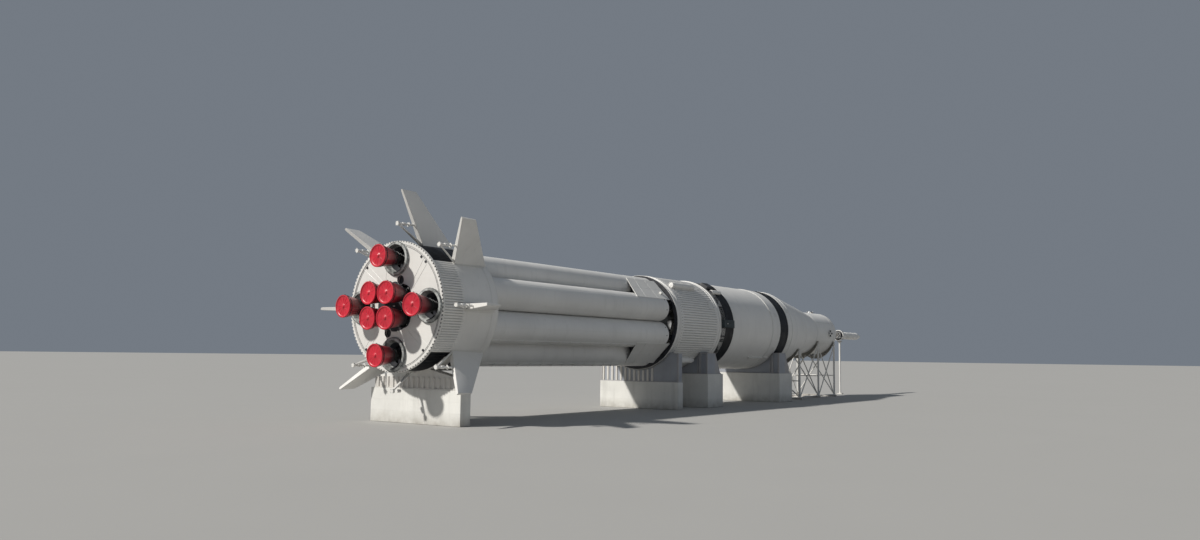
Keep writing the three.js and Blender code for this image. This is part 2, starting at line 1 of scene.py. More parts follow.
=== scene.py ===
"""Finishes a half-scale space rocket that lies on cradles: its skins, covers, fittings, paints and stage."""
import math

import bmesh
import bpy
from mathutils import Matrix, Vector, noise
from mathutils.geometry import tessellate_polygon


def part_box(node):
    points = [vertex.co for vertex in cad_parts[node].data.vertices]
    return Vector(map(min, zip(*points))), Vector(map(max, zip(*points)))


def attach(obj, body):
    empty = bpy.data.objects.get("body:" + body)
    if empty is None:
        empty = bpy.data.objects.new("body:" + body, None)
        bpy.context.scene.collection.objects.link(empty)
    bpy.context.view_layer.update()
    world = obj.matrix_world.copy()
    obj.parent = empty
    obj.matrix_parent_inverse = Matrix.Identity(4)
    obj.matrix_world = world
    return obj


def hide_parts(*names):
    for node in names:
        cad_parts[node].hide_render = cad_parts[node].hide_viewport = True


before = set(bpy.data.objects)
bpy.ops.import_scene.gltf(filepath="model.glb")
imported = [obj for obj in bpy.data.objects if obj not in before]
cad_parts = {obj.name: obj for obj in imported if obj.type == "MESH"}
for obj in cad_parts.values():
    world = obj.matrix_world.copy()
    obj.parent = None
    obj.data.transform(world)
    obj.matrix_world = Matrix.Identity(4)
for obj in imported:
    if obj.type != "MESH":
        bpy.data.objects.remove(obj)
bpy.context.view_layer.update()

bl_info = {
    "name": "Space rocket on cradles",
    "version": (1, 0, 0),
    "blender": (4, 5, 0),
    "location": "View3D > Sidebar > Rocket",
    "description": "Skins, covers, fittings, paints and stage of a half-scale rocket",
    "category": "Object",
}

# The shapes are drawn in metres of the full-size vehicle: station from the aft end, width and height from
# the long axis. Angles go round the axis from the near side: 0 near, 90 top, 180 far, 270 bottom.
SCALE = 0.5
MID_STATION = 34.1405
AXIS_HEIGHT = 6.0
# Room between neighbouring skins, and the end of a long straight run that keeps its shading flat.
GAP = 0.004
HOLD = 0.03
UPRIGHT = Matrix.Rotation(math.radians(-90), 4, "Y")
BACKWARD = Matrix.Rotation(math.pi, 4, "Y")

OUTER_ENGINES = {"near": 0, "top": 90, "far": 180, "bottom": 270}
INNER_ENGINES = {"upper_near": 45, "upper_far": 135, "lower_far": 225, "lower_near": 315}
FINS = {
    "fin_near": 0,
    "fin_upper_near": 45,
    "fin_top": 90,
    "fin_upper_far": 135,
    "fin_far": 180,
    "fin_lower_far": 225,
    "fin_lower_near": 315,
}
TANK_ANGLES = [22.5 + 45 * i for i in range(8)]
HULL_STEPS = 160


def to_model(p):
    """A point of the full-size drawing, in metres of the model."""
    return Vector(((p[0] - MID_STATION) * SCALE, p[1] * SCALE, (p[2] + AXIS_HEIGHT) * SCALE))


def station(x):
    """The station of a length along the model."""
    return x / SCALE + MID_STATION


def reach(node):
    """First and last station of a CAD node."""
    low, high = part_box(node)
    return station(low.x), station(high.x)


def seat(s, r, at):
    """A frame at an angle round the axis: x forward, y round the axis, z outwards."""
    a = math.radians(at)
    out = Vector((0, -math.cos(a), math.sin(a)))
    side = Vector((0, math.sin(a), math.cos(a)))
    turn = Matrix((Vector((1, 0, 0)), side, out)).transposed().to_4x4()
    return Matrix.Translation(Vector((s, 0, 0)) + out * r) @ turn


def polar(s, r, at):
    """The point at a station, radius and angle."""
    return seat(s, r, at).to_translation()


def ring_of(count, r, centre=(0.0, 0.0), start=0.0):
    """Points of a circle across the axis, as (width, height) pairs."""
    turns = [start + math.tau * i / count for i in range(count)]
    return [(centre[0] - r * math.cos(a), centre[1] + r * math.sin(a)) for a in turns]


def smooth_step(low, high, x):
    """0 up to low, 1 from high on, and a soft curve between them."""
    t = min(1.0, max(0.0, (x - low) / (high - low)))
    return t * t * (3 - 2 * t)


def rib_edge(phase):
    """Share of a groove's depth at a place within a rib: 0 on the crest and 1 on the floor."""
    return smooth_step(0.6, 0.8, abs(phase - 0.5) * 2)


def held(profile):
    """The profile with a point near each end of its long straight runs, which keeps their shading flat."""
    full = [profile[0]]
    for (s0, r0), (s1, r1) in zip(profile, profile[1:]):
        run = math.hypot(s1 - s0, r1 - r0)
        if run > 20 * HOLD and r0 and r1:
            for share in (HOLD / run, 1 - HOLD / run):
                full.append((s0 + (s1 - s0) * share, r0 + (r1 - r0) * share))
        full.append((s1, r1))
    return full


def ridge_line(s, r, foot, top, rise):
    """Profile points of a small ridge, or of a groove where the rise is below zero."""
    return [(s - foot, r), (s - top, r + rise), (s + top, r + rise), (s + foot, r)]


def arc(r, turns):
    """(width, height) pairs on a circle round the axis, one for each angle."""
    return [tuple(polar(0, r, at)[1:]) for at in turns]


class Shape:
    """The points, faces and finishes of one piece while it is drawn."""

    def __init__(self):
        self.points = []
        self.faces = []
        self.paints = []

    def add(self, points, faces, paint=0, place=None):
        start = len(self.points)
        self.points += [place @ p for p in points] if place else points
        self.faces += [[start + i for i in face] for face in faces]
        if callable(paint):
            middles = (sum((points[i] for i in face), Vector()) / len(face) for face in faces)
            self.paints += [paint(p) for p in middles]
        else:
            self.paints += [paint] * len(faces)

    def turned(self, profile, steps, paint=0, place=None, span=None, loop=False, wave=None):
        """A profile of (station, radius) pairs turned about the long axis, whole or over a span."""
        profile = held(profile)
        first, last = span or (0.0, 360.0)
        rows = steps + 1 if span else steps
        points = []
        rings = []
        for s, r in profile:
            if r == 0:
                rings.append([len(points)] * rows)
                points.append(Vector((s, 0, 0)))
                continue
            ring = []
            for i in range(rows):
                a = math.radians(first + (last - first) * i / steps)
                size = r + (wave(s, r, a) if wave else 0.0)
                ring.append(len(points))
                points.append(Vector((s, -size * math.cos(a), size * math.sin(a))))
            rings.append(ring)
        chain = rings + rings[:1] if loop else rings
        faces = []
        for one, two in zip(chain, chain[1:]):
            for i in range(steps):
                j = (i + 1) % rows
                face = list(dict.fromkeys([one[i], one[j], two[j], two[i]]))
                if len(face) > 2:
                    faces.append(face)
        if span:
            faces.append([ring[0] for ring in rings])
            faces.append([ring[-1] for ring in reversed(rings)])
        self.add(points, faces, paint, place)

    def bar(self, a, b, r, sides=12, r2=None, paint=0, place=None):
        """A round bar between two points."""
        a, b = Vector(a), Vector(b)
        along = b - a
        local = Matrix.Translation(a) @ Vector((1, 0, 0)).rotation_difference(along).to_matrix().to_4x4()
        end = r if r2 is None else r2
        ends = [(0, 0), (0, r), (along.length, end), (along.length, 0)]
        self.turned(ends, sides, paint, place @ local if place else local)

    def box(self, s, y, z, paint=0, place=None):
        """A block between pairs of stations, widths and heights."""
        points = [Vector((a, b, c)) for a in s for b in y for c in z]
        faces = [[0, 1, 3, 2], [4, 6, 7, 5], [0, 4, 5, 1], [2, 3, 7, 6], [0, 2, 6, 4], [1, 5, 7, 3]]
        self.add(points, faces, paint, place)

    def stud(self, place, r, height, paint=0, sides=8):
        """A domed bolt head that stands out of a seat."""
        dome = [(-0.006, 0), (-0.006, r), (height * 0.6, r), (height, r * 0.6), (height, 0)]
        self.turned(dome, sides, paint, place @ UPRIGHT)

    def studs_round(self, s, r, count, size, height, paint=0, span=(0, 360), sides=6):
        first, last = span
        for i in range(count):
            self.stud(seat(s, r, first + (last - first) * (i + 0.5) / count), size, height, paint, sides)

    def plate(self, outlines, s0, s1, paint=0, place=None):
        """A flat plate across the axis: an outer outline and its holes, as (width, height) pairs."""
        flat = [[Vector((y, z, 0)) for y, z in line] for line in outlines]
        count = sum(map(len, flat))
        points = [Vector((s, p.x, p.y)) for s in (s0, s1) for line in flat for p in line]
        faces = []
        for corner in tessellate_polygon(flat):
            faces.append(list(corner))
            faces.append([i + count for i in reversed(corner)])
        start = 0
        for line in flat:
            for i in range(len(line)):
                a, b = start + i, start + (i + 1) % len(line)
                faces.append([a, b, b + count, a + count])
            start += len(line)
        self.add(points, faces, paint, place)

    def loft(self, sections, paint=0, place=None):
        """Closed outlines of equal length joined in order and capped at both ends."""
        width = len(sections[0])
        points = [Vector(p) for section in sections for p in section]
        faces = [list(range(width)), list(range(len(points) - 1, len(points) - 1 - width, -1))]
        for k in range(len(sections) - 1):
            for i in range(width):
                a, b = k * width + i, k * width + (i + 1) % width
                faces.append([a, b, b + width, a + width])
        self.add(points, faces, paint, place)


def piece(name, shape, body, finishes, nodes=(), bevel=0.0, sharp=32):
    """Makes the object of a shape, lets it ride on its body and hides the CAD nodes that it stands for."""
    mesh = bpy.data.meshes.new(name)
    mesh.from_pydata([to_model(p) for p in shape.points], [], shape.faces)
    for finish in finishes:
        mesh.materials.append(paints[finish])
    mesh.polygons.foreach_set("material_index", shape.paints)
    work = bmesh.new()
    work.from_mesh(mesh)
    bmesh.ops.recalc_face_normals(work, faces=work.faces)
    work.to_mesh(mesh)
    work.free()
    mesh.polygons.foreach_set("use_smooth", [True] * len(mesh.polygons))
    mesh.set_sharp_from_angle(angle=math.radians(sharp))
    obj = bpy.data.objects.new(name, mesh)
    bpy.context.scene.collection.objects.link(obj)
    if bevel:
        edge = obj.modifiers.new("soft edges", "BEVEL")
        edge.width = bevel
        edge.segments = 2
        edge.limit_method = "ANGLE"
        edge.angle_limit = math.radians(50)
        edge.harden_normals = True
    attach(obj, body)
    if nodes:
        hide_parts(*nodes)


class Finish:
    """A material while its nodes are laid out. Every pattern is in the metres of the model."""

    def __init__(self, name):
        self.material = bpy.data.materials.new(name)
        self.material.use_nodes = True
        self.tree = self.material.node_tree
        self.shader = self.tree.nodes["Principled BSDF"]
        self.place = self.node("ShaderNodeTexCoord").outputs["Object"]

    def node(self, kind, inputs=None, **settings):
        made = self.tree.nodes.new(kind)
        for key, value in settings.items():
            setattr(made, key, value)
        for key, value in (inputs or {}).items():
            self.feed(made.inputs[key], value)
        return made

    def feed(self, socket, value):
        if isinstance(value, bpy.types.NodeSocket):
            self.tree.links.new(value, socket)
        else:
            socket.default_value = value

    def set(self, **values):
        for key, value in values.items():
            self.feed(self.shader.inputs[key.replace("_", " ")], value)

    def stretched(self, x, y, z):
        return self.node("ShaderNodeMapping", {"Vector": self.place, "Scale": (x, y, z)}).outputs["Vector"]

    def noise(self, scale, detail=4.0, roughness=0.55, at=None):
        values = {"Vector": at or self.place, "Scale": scale, "Detail": detail, "Roughness": roughness}
        return self.node("ShaderNodeTexNoise", values).outputs["Fac"]

    def fade(self, value, low, high, to_low=0.0, to_high=1.0):
        """A value carried from one range to another and held inside it."""
        values = {"Value": value, "From Min": low, "From Max": high, "To Min": to_low, "To Max": to_high}
        return self.node("ShaderNodeMapRange", values).outputs["Result"]

    def uneven(self, scale, detail, low, high):
        """A value that wanders between two others."""
        return self.fade(self.noise(scale, detail), 0.3, 0.7, low, high)

    def times(self, a, b):
        return self.math("MULTIPLY", a, b)

    def math(self, operation, a, b):
        made = self.node("ShaderNodeMath", operation=operation)
        self.feed(made.inputs[0], a)
        self.feed(made.inputs[1], b)
        return made.outputs[0]

    def mix(self, share, a, b):
        made = self.node("ShaderNodeMix", data_type="RGBA")
        self.feed(made.inputs["Factor"], share)
        self.feed(made.inputs["A"], a)
        self.feed(made.inputs["B"], b)
        return made.outputs["Result"]

    def facing_down(self):
        normal = self.node("ShaderNodeSeparateXYZ",
                           {"Vector": self.node("ShaderNodeNewGeometry").outputs["Normal"]})
        return self.fade(normal.outputs["Z"], 0.15, -0.85)

    def edges(self, low=0.52, high=0.62):
        return self.fade(self.node("ShaderNodeNewGeometry").outputs["Pointiness"], low, high)

    def streaks(self, fine=5.0, fall=0.35, low=0.55, high=0.75):
        """Marks that rain draws down the sides."""
        return self.fade(self.noise(1.0, 5.0, 0.65, self.stretched(fine, fine, fall)), low, high)

    def bump(self, height, strength, distance, under=None):
        values = {"Height": height, "Strength": strength, "Distance": distance}
        if under is not None:
            values["Normal"] = under
        return self.node("ShaderNodeBump", values).outputs["Normal"]


def rgba(colour, share=1.0):
    """A colour made lighter or darker, as the nodes take it."""
    return (colour[0] * share, colour[1] * share, colour[2] * share, 1.0)


def white_paint(colour, name="white hull paint", dirt=0.5, gloss=0.42):
    """Outdoor white paint: chalky patches, rain streaks, darker colour on faces that point down, and a
    slightly uneven skin.
    """
    f = Finish(name)
    chalk = f.mix(f.fade(f.noise(0.55, 5.0), 0.35, 0.7), rgba(colour), rgba(colour, 0.9))
    streaked = f.mix(f.times(f.streaks(), 0.32 * dirt), chalk, (0.36, 0.35, 0.32, 1))
    # Darker colour on faces that point down.
    belly = f.times(f.facing_down(), f.fade(f.noise(1.3, 6.0), 0.3, 0.75, 0.1, 0.55 * dirt))
    grimy = f.mix(belly, streaked, (0.30, 0.29, 0.26, 1))
    specks = f.fade(f.noise(26.0, 3.0, 0.7), 0.70, 0.78, 0.0, 0.3 * dirt)
    worn = f.mix(f.times(f.edges(), 0.35), f.mix(specks, grimy, (0.25, 0.23, 0.2, 1)), (0.55, 0.54, 0.5, 1))
    skin = f.bump(f.noise(1.6, 2.0), 0.5, 0.012)
    f.set(
        Base_Color=worn,
        Roughness=f.uneven(3.0, 5.0, gloss - 0.08, gloss + 0.16),
        Normal=f.bump(f.noise(55.0, 2.0), 0.12, 0.002, skin),
    )
    return f.material


def black_paint(colour):
    """Black paint that has greyed in the sun, with dust and streaks."""
    f = Finish("black hull paint")
    faded = f.mix(f.fade(f.noise(0.9, 6.0), 0.35, 0.7), rgba(colour), rgba(colour, 2.6))
    dusty = f.mix(f.times(f.streaks(6.0, 0.4), 0.04), faded, (0.22, 0.22, 0.23, 1))
    worn = f.mix(f.times(f.edges(), 0.25), dusty, (0.12, 0.12, 0.13, 1))
    f.set(
        Base_Color=worn,
        Specular_IOR_Level=0.22,
        Roughness=f.uneven(4.0, 5.0, 0.42, 0.62),
        Normal=f.bump(f.noise(40.0, 2.0), 0.15, 0.002, f.bump(f.noise(1.8, 2.0), 0.4, 0.01)),
    )
    return f.material


def red_cover(colour):
    """Coated red cloth: faded patches, a fine weave, soft creases, and soot with painted shade towards the
    neck.
    """
    f = Finish("red coated cloth")
    faded = f.mix(f.fade(f.noise(2.2, 6.0), 0.35, 0.72), rgba(colour), rgba(colour, 1.45))
    pale = f.mix(f.times(f.streaks(9.0, 1.2, 0.6, 0.8), 0.22), faded, (0.62, 0.10, 0.13, 1))
    worn = f.mix(f.times(f.edges(0.53, 0.64), 0.45), pale, (0.20, 0.012, 0.02, 1))
    # The sleeve darkens towards the neck: soot, and painted shade of its shadowed root.
    along = f.node("ShaderNodeSeparateXYZ", {"Vector": f.place}).outputs["X"]
    pale_end, black = to_model((0.0, 0, 0)).x, to_model((0.78, 0, 0)).x
    sooty_and_shaded = f.times(f.fade(along, pale_end, black), f.fade(f.noise(5.0, 4.0), 0.2, 0.8, 0.8, 1.0))
    f.set(
        Base_Color=f.mix(sooty_and_shaded, worn, (0.018, 0.006, 0.008, 1)),
        Roughness=f.uneven(7.0, 5.0, 0.30, 0.52),
        Normal=f.bump(
            f.node("ShaderNodeTexVoronoi", {"Vector": f.place, "Scale": 240.0}).outputs["Distance"],
            0.12, 0.001, f.bump(f.noise(6.5, 3.0), 0.5, 0.012)),
    )
    f.shader.inputs["Coat Weight"].default_value = 0.25
    f.shader.inputs["Coat Roughness"].default_value = 0.25
    return f.material


def boot_cloth(colour):
    """Heavy grey cloth with bleached and stained patches."""
    f = Finish("grey boot cloth")
    patches = f.mix(f.fade(f.noise(5.0, 6.0, 0.6), 0.4, 0.6), rgba(colour, 0.55), rgba(colour, 1.7))
    stained = f.mix(f.fade(f.noise(11.0, 4.0), 0.6, 0.72, 0.0, 0.75), patches, (0.06, 0.065, 0.06, 1))
    weave = f.node("ShaderNodeTexVoronoi", {"Vector": f.place, "Scale": 170.0}).outputs["Distance"]
    f.set(
        Base_Color=stained,
        Roughness=f.uneven(6.0, 3.0, 0.75, 0.95),
        Normal=f.bump(weave, 0.3, 0.002, f.bump(f.noise(14.0, 4.0), 0.6, 0.012)),
    )
    return f.material


def bare_steel(colour, name="bare steel", metal=0.85):
    """Weathered metal with brushed lines, oxide patches and bright edges."""
    f = Finish(name)
    oxide = f.mix(f.fade(f.noise(4.0, 6.0, 0.6), 0.42, 0.68), rgba(colour), rgba(colour, 0.5))
    rust = f.mix(f.fade(f.noise(9.0, 5.0, 0.7), 0.62, 0.74, 0.0, 0.7), oxide,
                 (0.45 * colour[0], 0.25 * colour[1], 0.15 * colour[2], 1))
    bright = f.mix(f.times(f.edges(), 0.6), rust, rgba(colour, 1.5))
    f.set(
        Base_Color=bright,
        Roughness=f.uneven(8.0, 5.0, 0.32, 0.65),
        Normal=f.bump(f.noise(1.0, 3.0, 0.5, f.stretched(12.0, 90.0, 90.0)), 0.2, 0.002),
    )
    f.shader.inputs["Metallic"].default_value = metal
    return f.material


def cradle_concrete(colour):
    """Painted concrete: board marks, pits, water stains below the top edge and a dirty foot."""
    f = Finish("painted concrete")
    height = f.node("ShaderNodeSeparateXYZ", {"Vector": f.place}).outputs["Z"]
    tone = f.mix(f.fade(f.noise(1.1, 6.0, 0.6), 0.35, 0.7), rgba(colour), rgba(colour, 0.86))
    stains = f.mix(f.times(f.streaks(3.2, 0.3, 0.5, 0.78), 0.3), tone, (0.30, 0.29, 0.26, 1))
    foot = f.times(f.fade(height, 0.35, 0.0), f.uneven(4.0, 5.0, 0.25, 0.7))
    dirty = f.mix(foot, stains, (0.24, 0.22, 0.18, 1))
    pits = f.fade(f.noise(38.0, 3.0, 0.7), 0.62, 0.72)
    boards = f.fade(f.math("PINGPONG", height, 0.15), 0.0, 0.006)
    f.set(
        Base_Color=f.mix(f.times(pits, 0.25), dirty, (0.35, 0.34, 0.31, 1)),
        Roughness=f.uneven(9.0, 4.0, 0.72, 0.92),
        Normal=f.bump(boards, 0.5, 0.006, f.bump(f.noise(30.0, 5.0, 0.65), 0.35, 0.006)),
    )
    return f.material


def trestle_paint(colour, name="white steel paint"):
    """Brush-painted steel with rust at the joints and chips."""
    f = Finish(name)
    tone = f.mix(f.fade(f.noise(2.4, 5.0), 0.35, 0.7), rgba(colour), rgba(colour, 0.85))
    chips = f.fade(f.noise(13.0, 5.0, 0.7), 0.69, 0.73, 0.0, 0.7)
    rusty = f.mix(chips, tone, (0.20, 0.10, 0.05, 1))
    runs = f.mix(f.times(f.streaks(10.0, 0.8, 0.58, 0.8), 0.2), rusty, (0.33, 0.24, 0.17, 1))
    f.set(
        Base_Color=f.mix(f.times(f.edges(), 0.3), runs, (0.42, 0.36, 0.3, 1)),
        Roughness=f.uneven(6.0, 4.0, 0.4, 0.62),
        Normal=f.bump(f.noise(28.0, 3.0), 0.25, 0.003),
    )
    return f.material


def dark_rubber_and_shade(name="dark fittings and painted shade", deep=(0.012, 0.013, 0.018, 1), pale=(0.036, 0.038, 0.046, 1)):
    """A dark finish for fittings, and for painted shade on cover rims and shaded skins."""
    f = Finish(name)
    f.set(
        Base_Color=f.mix(f.fade(f.noise(6.0, 4.0), 0.3, 0.7), deep, pale),
        Roughness=f.uneven(9.0, 4.0, 0.5, 0.8),
        Normal=f.bump(f.noise(45.0, 3.0), 0.3, 0.002),
    )
    return f.material


def floor_paint(colour):
    """Plain pale floor."""
    f = Finish("studio floor")
    f.set(
        Base_Color=f.mix(f.noise(0.08, 2.0), rgba(colour), rgba(colour, 0.97)),
        Roughness=f.uneven(0.5, 2.0, 0.85, 0.95),
    )
    return f.material


paints = {}


def mix_paints(colours):
    """Makes every finish from the chosen colours."""
    paints["white"] = white_paint(colours.white)
    # Groove floors: white darkened for grime and for painted shade in the grooves.
    paints["groove_grime_and_shade"] = white_paint([0.72 * c for c in colours.white], "grimy grooves with painted shade", 0.8, 0.6)
    paints["black"] = black_paint(colours.black)
    paints["red"] = red_cover(colours.red)
    paints["boot"] = boot_cloth(colours.boot)
    paints["steel"] = bare_steel(colours.steel)
    # Bell metal at a tenth of the steel: soot, with painted shade where the bell sits deep inside the cover
    # and boot.
    paints["bell"] = bare_steel([0.10 * c for c in colours.steel], "sooty bell metal", 0.3)
    # Dark red ring at each cover's rim: painted shade on the rim's shaded side.
    paints["shaded_rim"] = dark_rubber_and_shade("dark red hem", (0.03, 0.002, 0.005, 1), (0.11, 0.006, 0.012, 1))
    paints["teal"] = dark_rubber_and_shade("dark teal paint", (0.018, 0.028, 0.032, 1), (0.034, 0.052, 0.058, 1))
    # Blue grey steel paint, made darker than the white steel as painted shade.
    paints["saddle"] = trestle_paint(colours.saddle, "blue grey saddle paint with painted shade")
    # Grey green crescent paint, made darker as painted shade.
    paints["cradling"] = trestle_paint([0.22, 0.22, 0.20], "grey green crescent paint with painted shade")
    paints["concrete"] = cradle_concrete(colours.concrete)
    paints["trestle"] = trestle_paint(colours.trestle)
    # The dark finish also serves as painted shade in boot throats, the beam and the panel openings.
    paints["dark"] = dark_rubber_and_shade()
    paints["floor"] = floor_paint(colours.floor)


# Heat shield. Ports are (width, height, radius), seams are pairs of ends that come four times round, and
# fittings are (width, height).
RIM_TEETH = 108
SHIELD_AFT = 1.31
SHIELD_FRONT = 1.41
SHIELD_R = 3.22
RIM_AFT = 1.29
RIM_FRONT = 1.445
SHIELD_HOLE = 0.7
BOOT_CENTRE = 2.45
INNER_HOLE = 0.47
INNER_CENTRE = 0.86
CORE_R = 1.28
PORTS = [(-0.32, 1.35, 0.2), (0.5, -1.35, 0.2)]
SEAMS = [
    ((-0.92, 0.85), (-2.0, 2.47)),
    ((-1.23, 0.91), (-2.14, 2.07)),
    ((-1.28, 0.76), (-1.96, 0.76)),
    ((-2.93, 0.76), (-3.08, 0.76)),
]
RIM_HOLES = (46.6, 54.3, 136.9, 226.6, 234.3, 313.1)
SHIELD_FITTINGS = ((-0.2, -0.18), (0.08, 0.02), (-0.94, 0.91), (-0.3, -1.27), (1.37, -0.09), (1.82, 0.0))


def core_outline():
    """The dark middle of the shield, which gives way to the ports."""
    line = []
    for y, z in ring_of(96, CORE_R):
        reach_in = 1.0
        while any(math.hypot(y * reach_in - a, z * reach_in - b) < r + 0.05 for a, b, r in PORTS):
            reach_in -= 0.02
        line.append((y * reach_in, z * reach_in))
    return line


def shield_rim(shield):
    """A rim with a dark groove that short teeth bridge."""
    aft, front = RIM_AFT, RIM_FRONT
    inner = [(aft, 3.21), (aft, 3.315), (aft + 0.02, 3.318), (front, 3.318), (front, 3.21)]
    groove = [(aft + 0.03, 3.31), (aft + 0.03, 3.345), (front, 3.345), (front, 3.31)]
    outer = [(aft + 0.06, 3.34), (aft + 0.06, 3.37), (front, 3.37), (front, 3.34)]
    for profile, paint in ((inner, 0), (groove, 1), (outer, 0)):
        shield.turned(profile, HULL_STEPS, paint, loop=True)
    for i in range(RIM_TEETH):
        tooth = seat(0, 3.34, 360 * i / RIM_TEETH)
        shield.box((aft + 0.004, front - 0.01), (-0.055, 0.055), (-0.03, 0.03), place=tooth)


def heat_shield():
    """White disc with a toothed rim, a dark middle, seams, ports, fittings and engine openings."""
    shield = Shape()
    face = SHIELD_AFT
    outer_holes = [ring_of(48, SHIELD_HOLE, polar(0, BOOT_CENTRE, at)[1:]) for at in OUTER_ENGINES.values()]
    inner_holes = [ring_of(40, INNER_HOLE, polar(0, INNER_CENTRE, at)[1:]) for at in INNER_ENGINES.values()]
    ports = [ring_of(24, r, (y, z)) for y, z, r in PORTS]
    shield.plate([ring_of(HULL_STEPS, SHIELD_R), *outer_holes, *inner_holes, *ports], face, SHIELD_FRONT)
    core_holes = [ring_of(40, INNER_HOLE - 0.004, polar(0, INNER_CENTRE, at)[1:])
                  for at in INNER_ENGINES.values()]
    shield.plate([core_outline(), *core_holes], face - 0.008, face + 0.01, 1)
    shield_rim(shield)
    for r, width in ((3.1, 0.02), (3.165, 0.012)):
        line = [(face + 0.01, r), (face - 0.008, r), (face - 0.008, r + width), (face + 0.01, r + width)]
        shield.turned(line, HULL_STEPS, 1, loop=True)
    for start, end in SEAMS:
        for turn in OUTER_ENGINES.values():
            spin = Matrix.Rotation(math.radians(turn), 4, "X")
            shield.bar((face, *start), (face, *end), 0.012, 6, place=spin)
    for at in RIM_HOLES:
        dimple = [(-0.012, 0), (-0.012, 0.05), (-0.028, 0.065), (0.01, 0.075), (0.01, 0)]
        shield.turned(dimple, 16, 1, Matrix.Translation(polar(face, 3.03, at)))
    for y, z, r in PORTS:
        here = Matrix.Translation((0, y, z))
        lip = [(face + 0.02, r - 0.012), (face - 0.022, r - 0.006), (face - 0.026, r + 0.02),
               (face + 0.01, r + 0.035)]
        shield.turned(lip, 32, 1, here, loop=True)
        shield.turned([(1.40, 0), (1.40, r), (1.44, r), (1.44, 0)], 24, 1, here)
    for at in INNER_ENGINES.values():
        lip = [(face + 0.02, INNER_HOLE - 0.01), (face - 0.03, INNER_HOLE), (face - 0.03, INNER_HOLE + 0.025),
               (face + 0.02, INNER_HOLE + 0.035)]
        shield.turned(lip, 48, 1, Matrix.Translation(polar(0, INNER_CENTRE, at)), loop=True)
    for y, z in SHIELD_FITTINGS:
        knob = [(face - 0.10, 0), (face - 0.10, 0.022), (face - 0.085, 0.034), (face - 0.02, 0.038),
                (face, 0.055), (face, 0)]
        shield.turned(knob, 12, 0, Matrix.Translation((0, y, z)))
    for at in OUTER_ENGINES.values():
        c = Matrix.Translation(polar(0, BOOT_CENTRE, at))
        for i in range(20):
            a = math.radians(18 * i + 9)
            bolt = Matrix.Translation((face, -0.9 * math.cos(a), 0.9 * math.sin(a))) @ BACKWARD
            shield.turned([(-0.004, 0), (-0.004, 0.016), (0.01, 0.016), (0.014, 0.009), (0.014, 0)], 6, 0,
                          c @ bolt)
    for i in range(72):
        bolt = seat(face, 3.135, 5 * i + 2.5) @ BACKWARD
        shield.turned([(-0.004, 0), (-0.004, 0.013), (0.01, 0.013), (0.01, 0)], 6, 0, bolt)
    piece("shield_face", shield, "vehicle", ("white", "dark"), ["heat_shield"])


BOOT_OUTER = [
    (1.325, 0.87), (1.285, 0.878), (1.262, 0.868), (1.25, 0.877), (1.215, 0.87), (1.19, 0.852),
    (1.172, 0.815), (1.163, 0.775), (1.16, 0.745), (1.172, 0.733), (1.21, 0.726), (1.325, 0.72),
]
BOOT_LINING = [
    (1.17, 0.733), (1.21, 0.715), (1.26, 0.705), (1.30, 0.685), (1.36, 0.67), (1.45, 0.632), (1.45, 0.65),
    (1.36, 0.69), (1.30, 0.72), (1.21, 0.738),
]
BOOT_THROAT = [(1.45, 0.632), (1.60, 0.55), (1.68, 0.47), (1.70, 0.46), (1.72, 0.475), (1.64, 0.58),
               (1.5, 0.66), (1.45, 0.66)]


def boots():
    """Gathered cloth boots round the steered engines."""
    shape = Shape()
    for k, at in enumerate(OUTER_ENGINES.values()):
        here = Matrix.Translation(polar(0, BOOT_CENTRE, at))

        def folds(s, r, a, k=k):
            wander = noise.noise(Vector((math.cos(a) * 4, math.sin(a) * 4, s * 7 + k * 9)))
            pleat = 0.5 * math.sin(a * 34 + k) + 1.4 * wander
            return 0.012 * pleat * (1 if r > 0.75 else 0.5)

        shape.turned(BOOT_OUTER, 136, 0, here, loop=True, wave=folds)
        shape.turned(BOOT_LINING, 136, 0, here, loop=True, wave=folds)
        # The throat inside each boot takes the dark finish: painted shade that hides the frame behind it.
        shape.turned(BOOT_THROAT, 96, 1, here, loop=True)
        for s, r in ((1.262, 0.858), (1.2, 0.858)):
            strap = [(s - 0.01, r), (s - 0.01, r + 0.014), (s + 0.01, r + 0.016), (s + 0.01, r)]
            shape.turned(strap, 96, 1, here, loop=True)
    piece("engine_boots", shape, "vehicle", ("boot", "dark"))


SHROUD_R = 3.27
SHROUD_RIB_END = 2.95


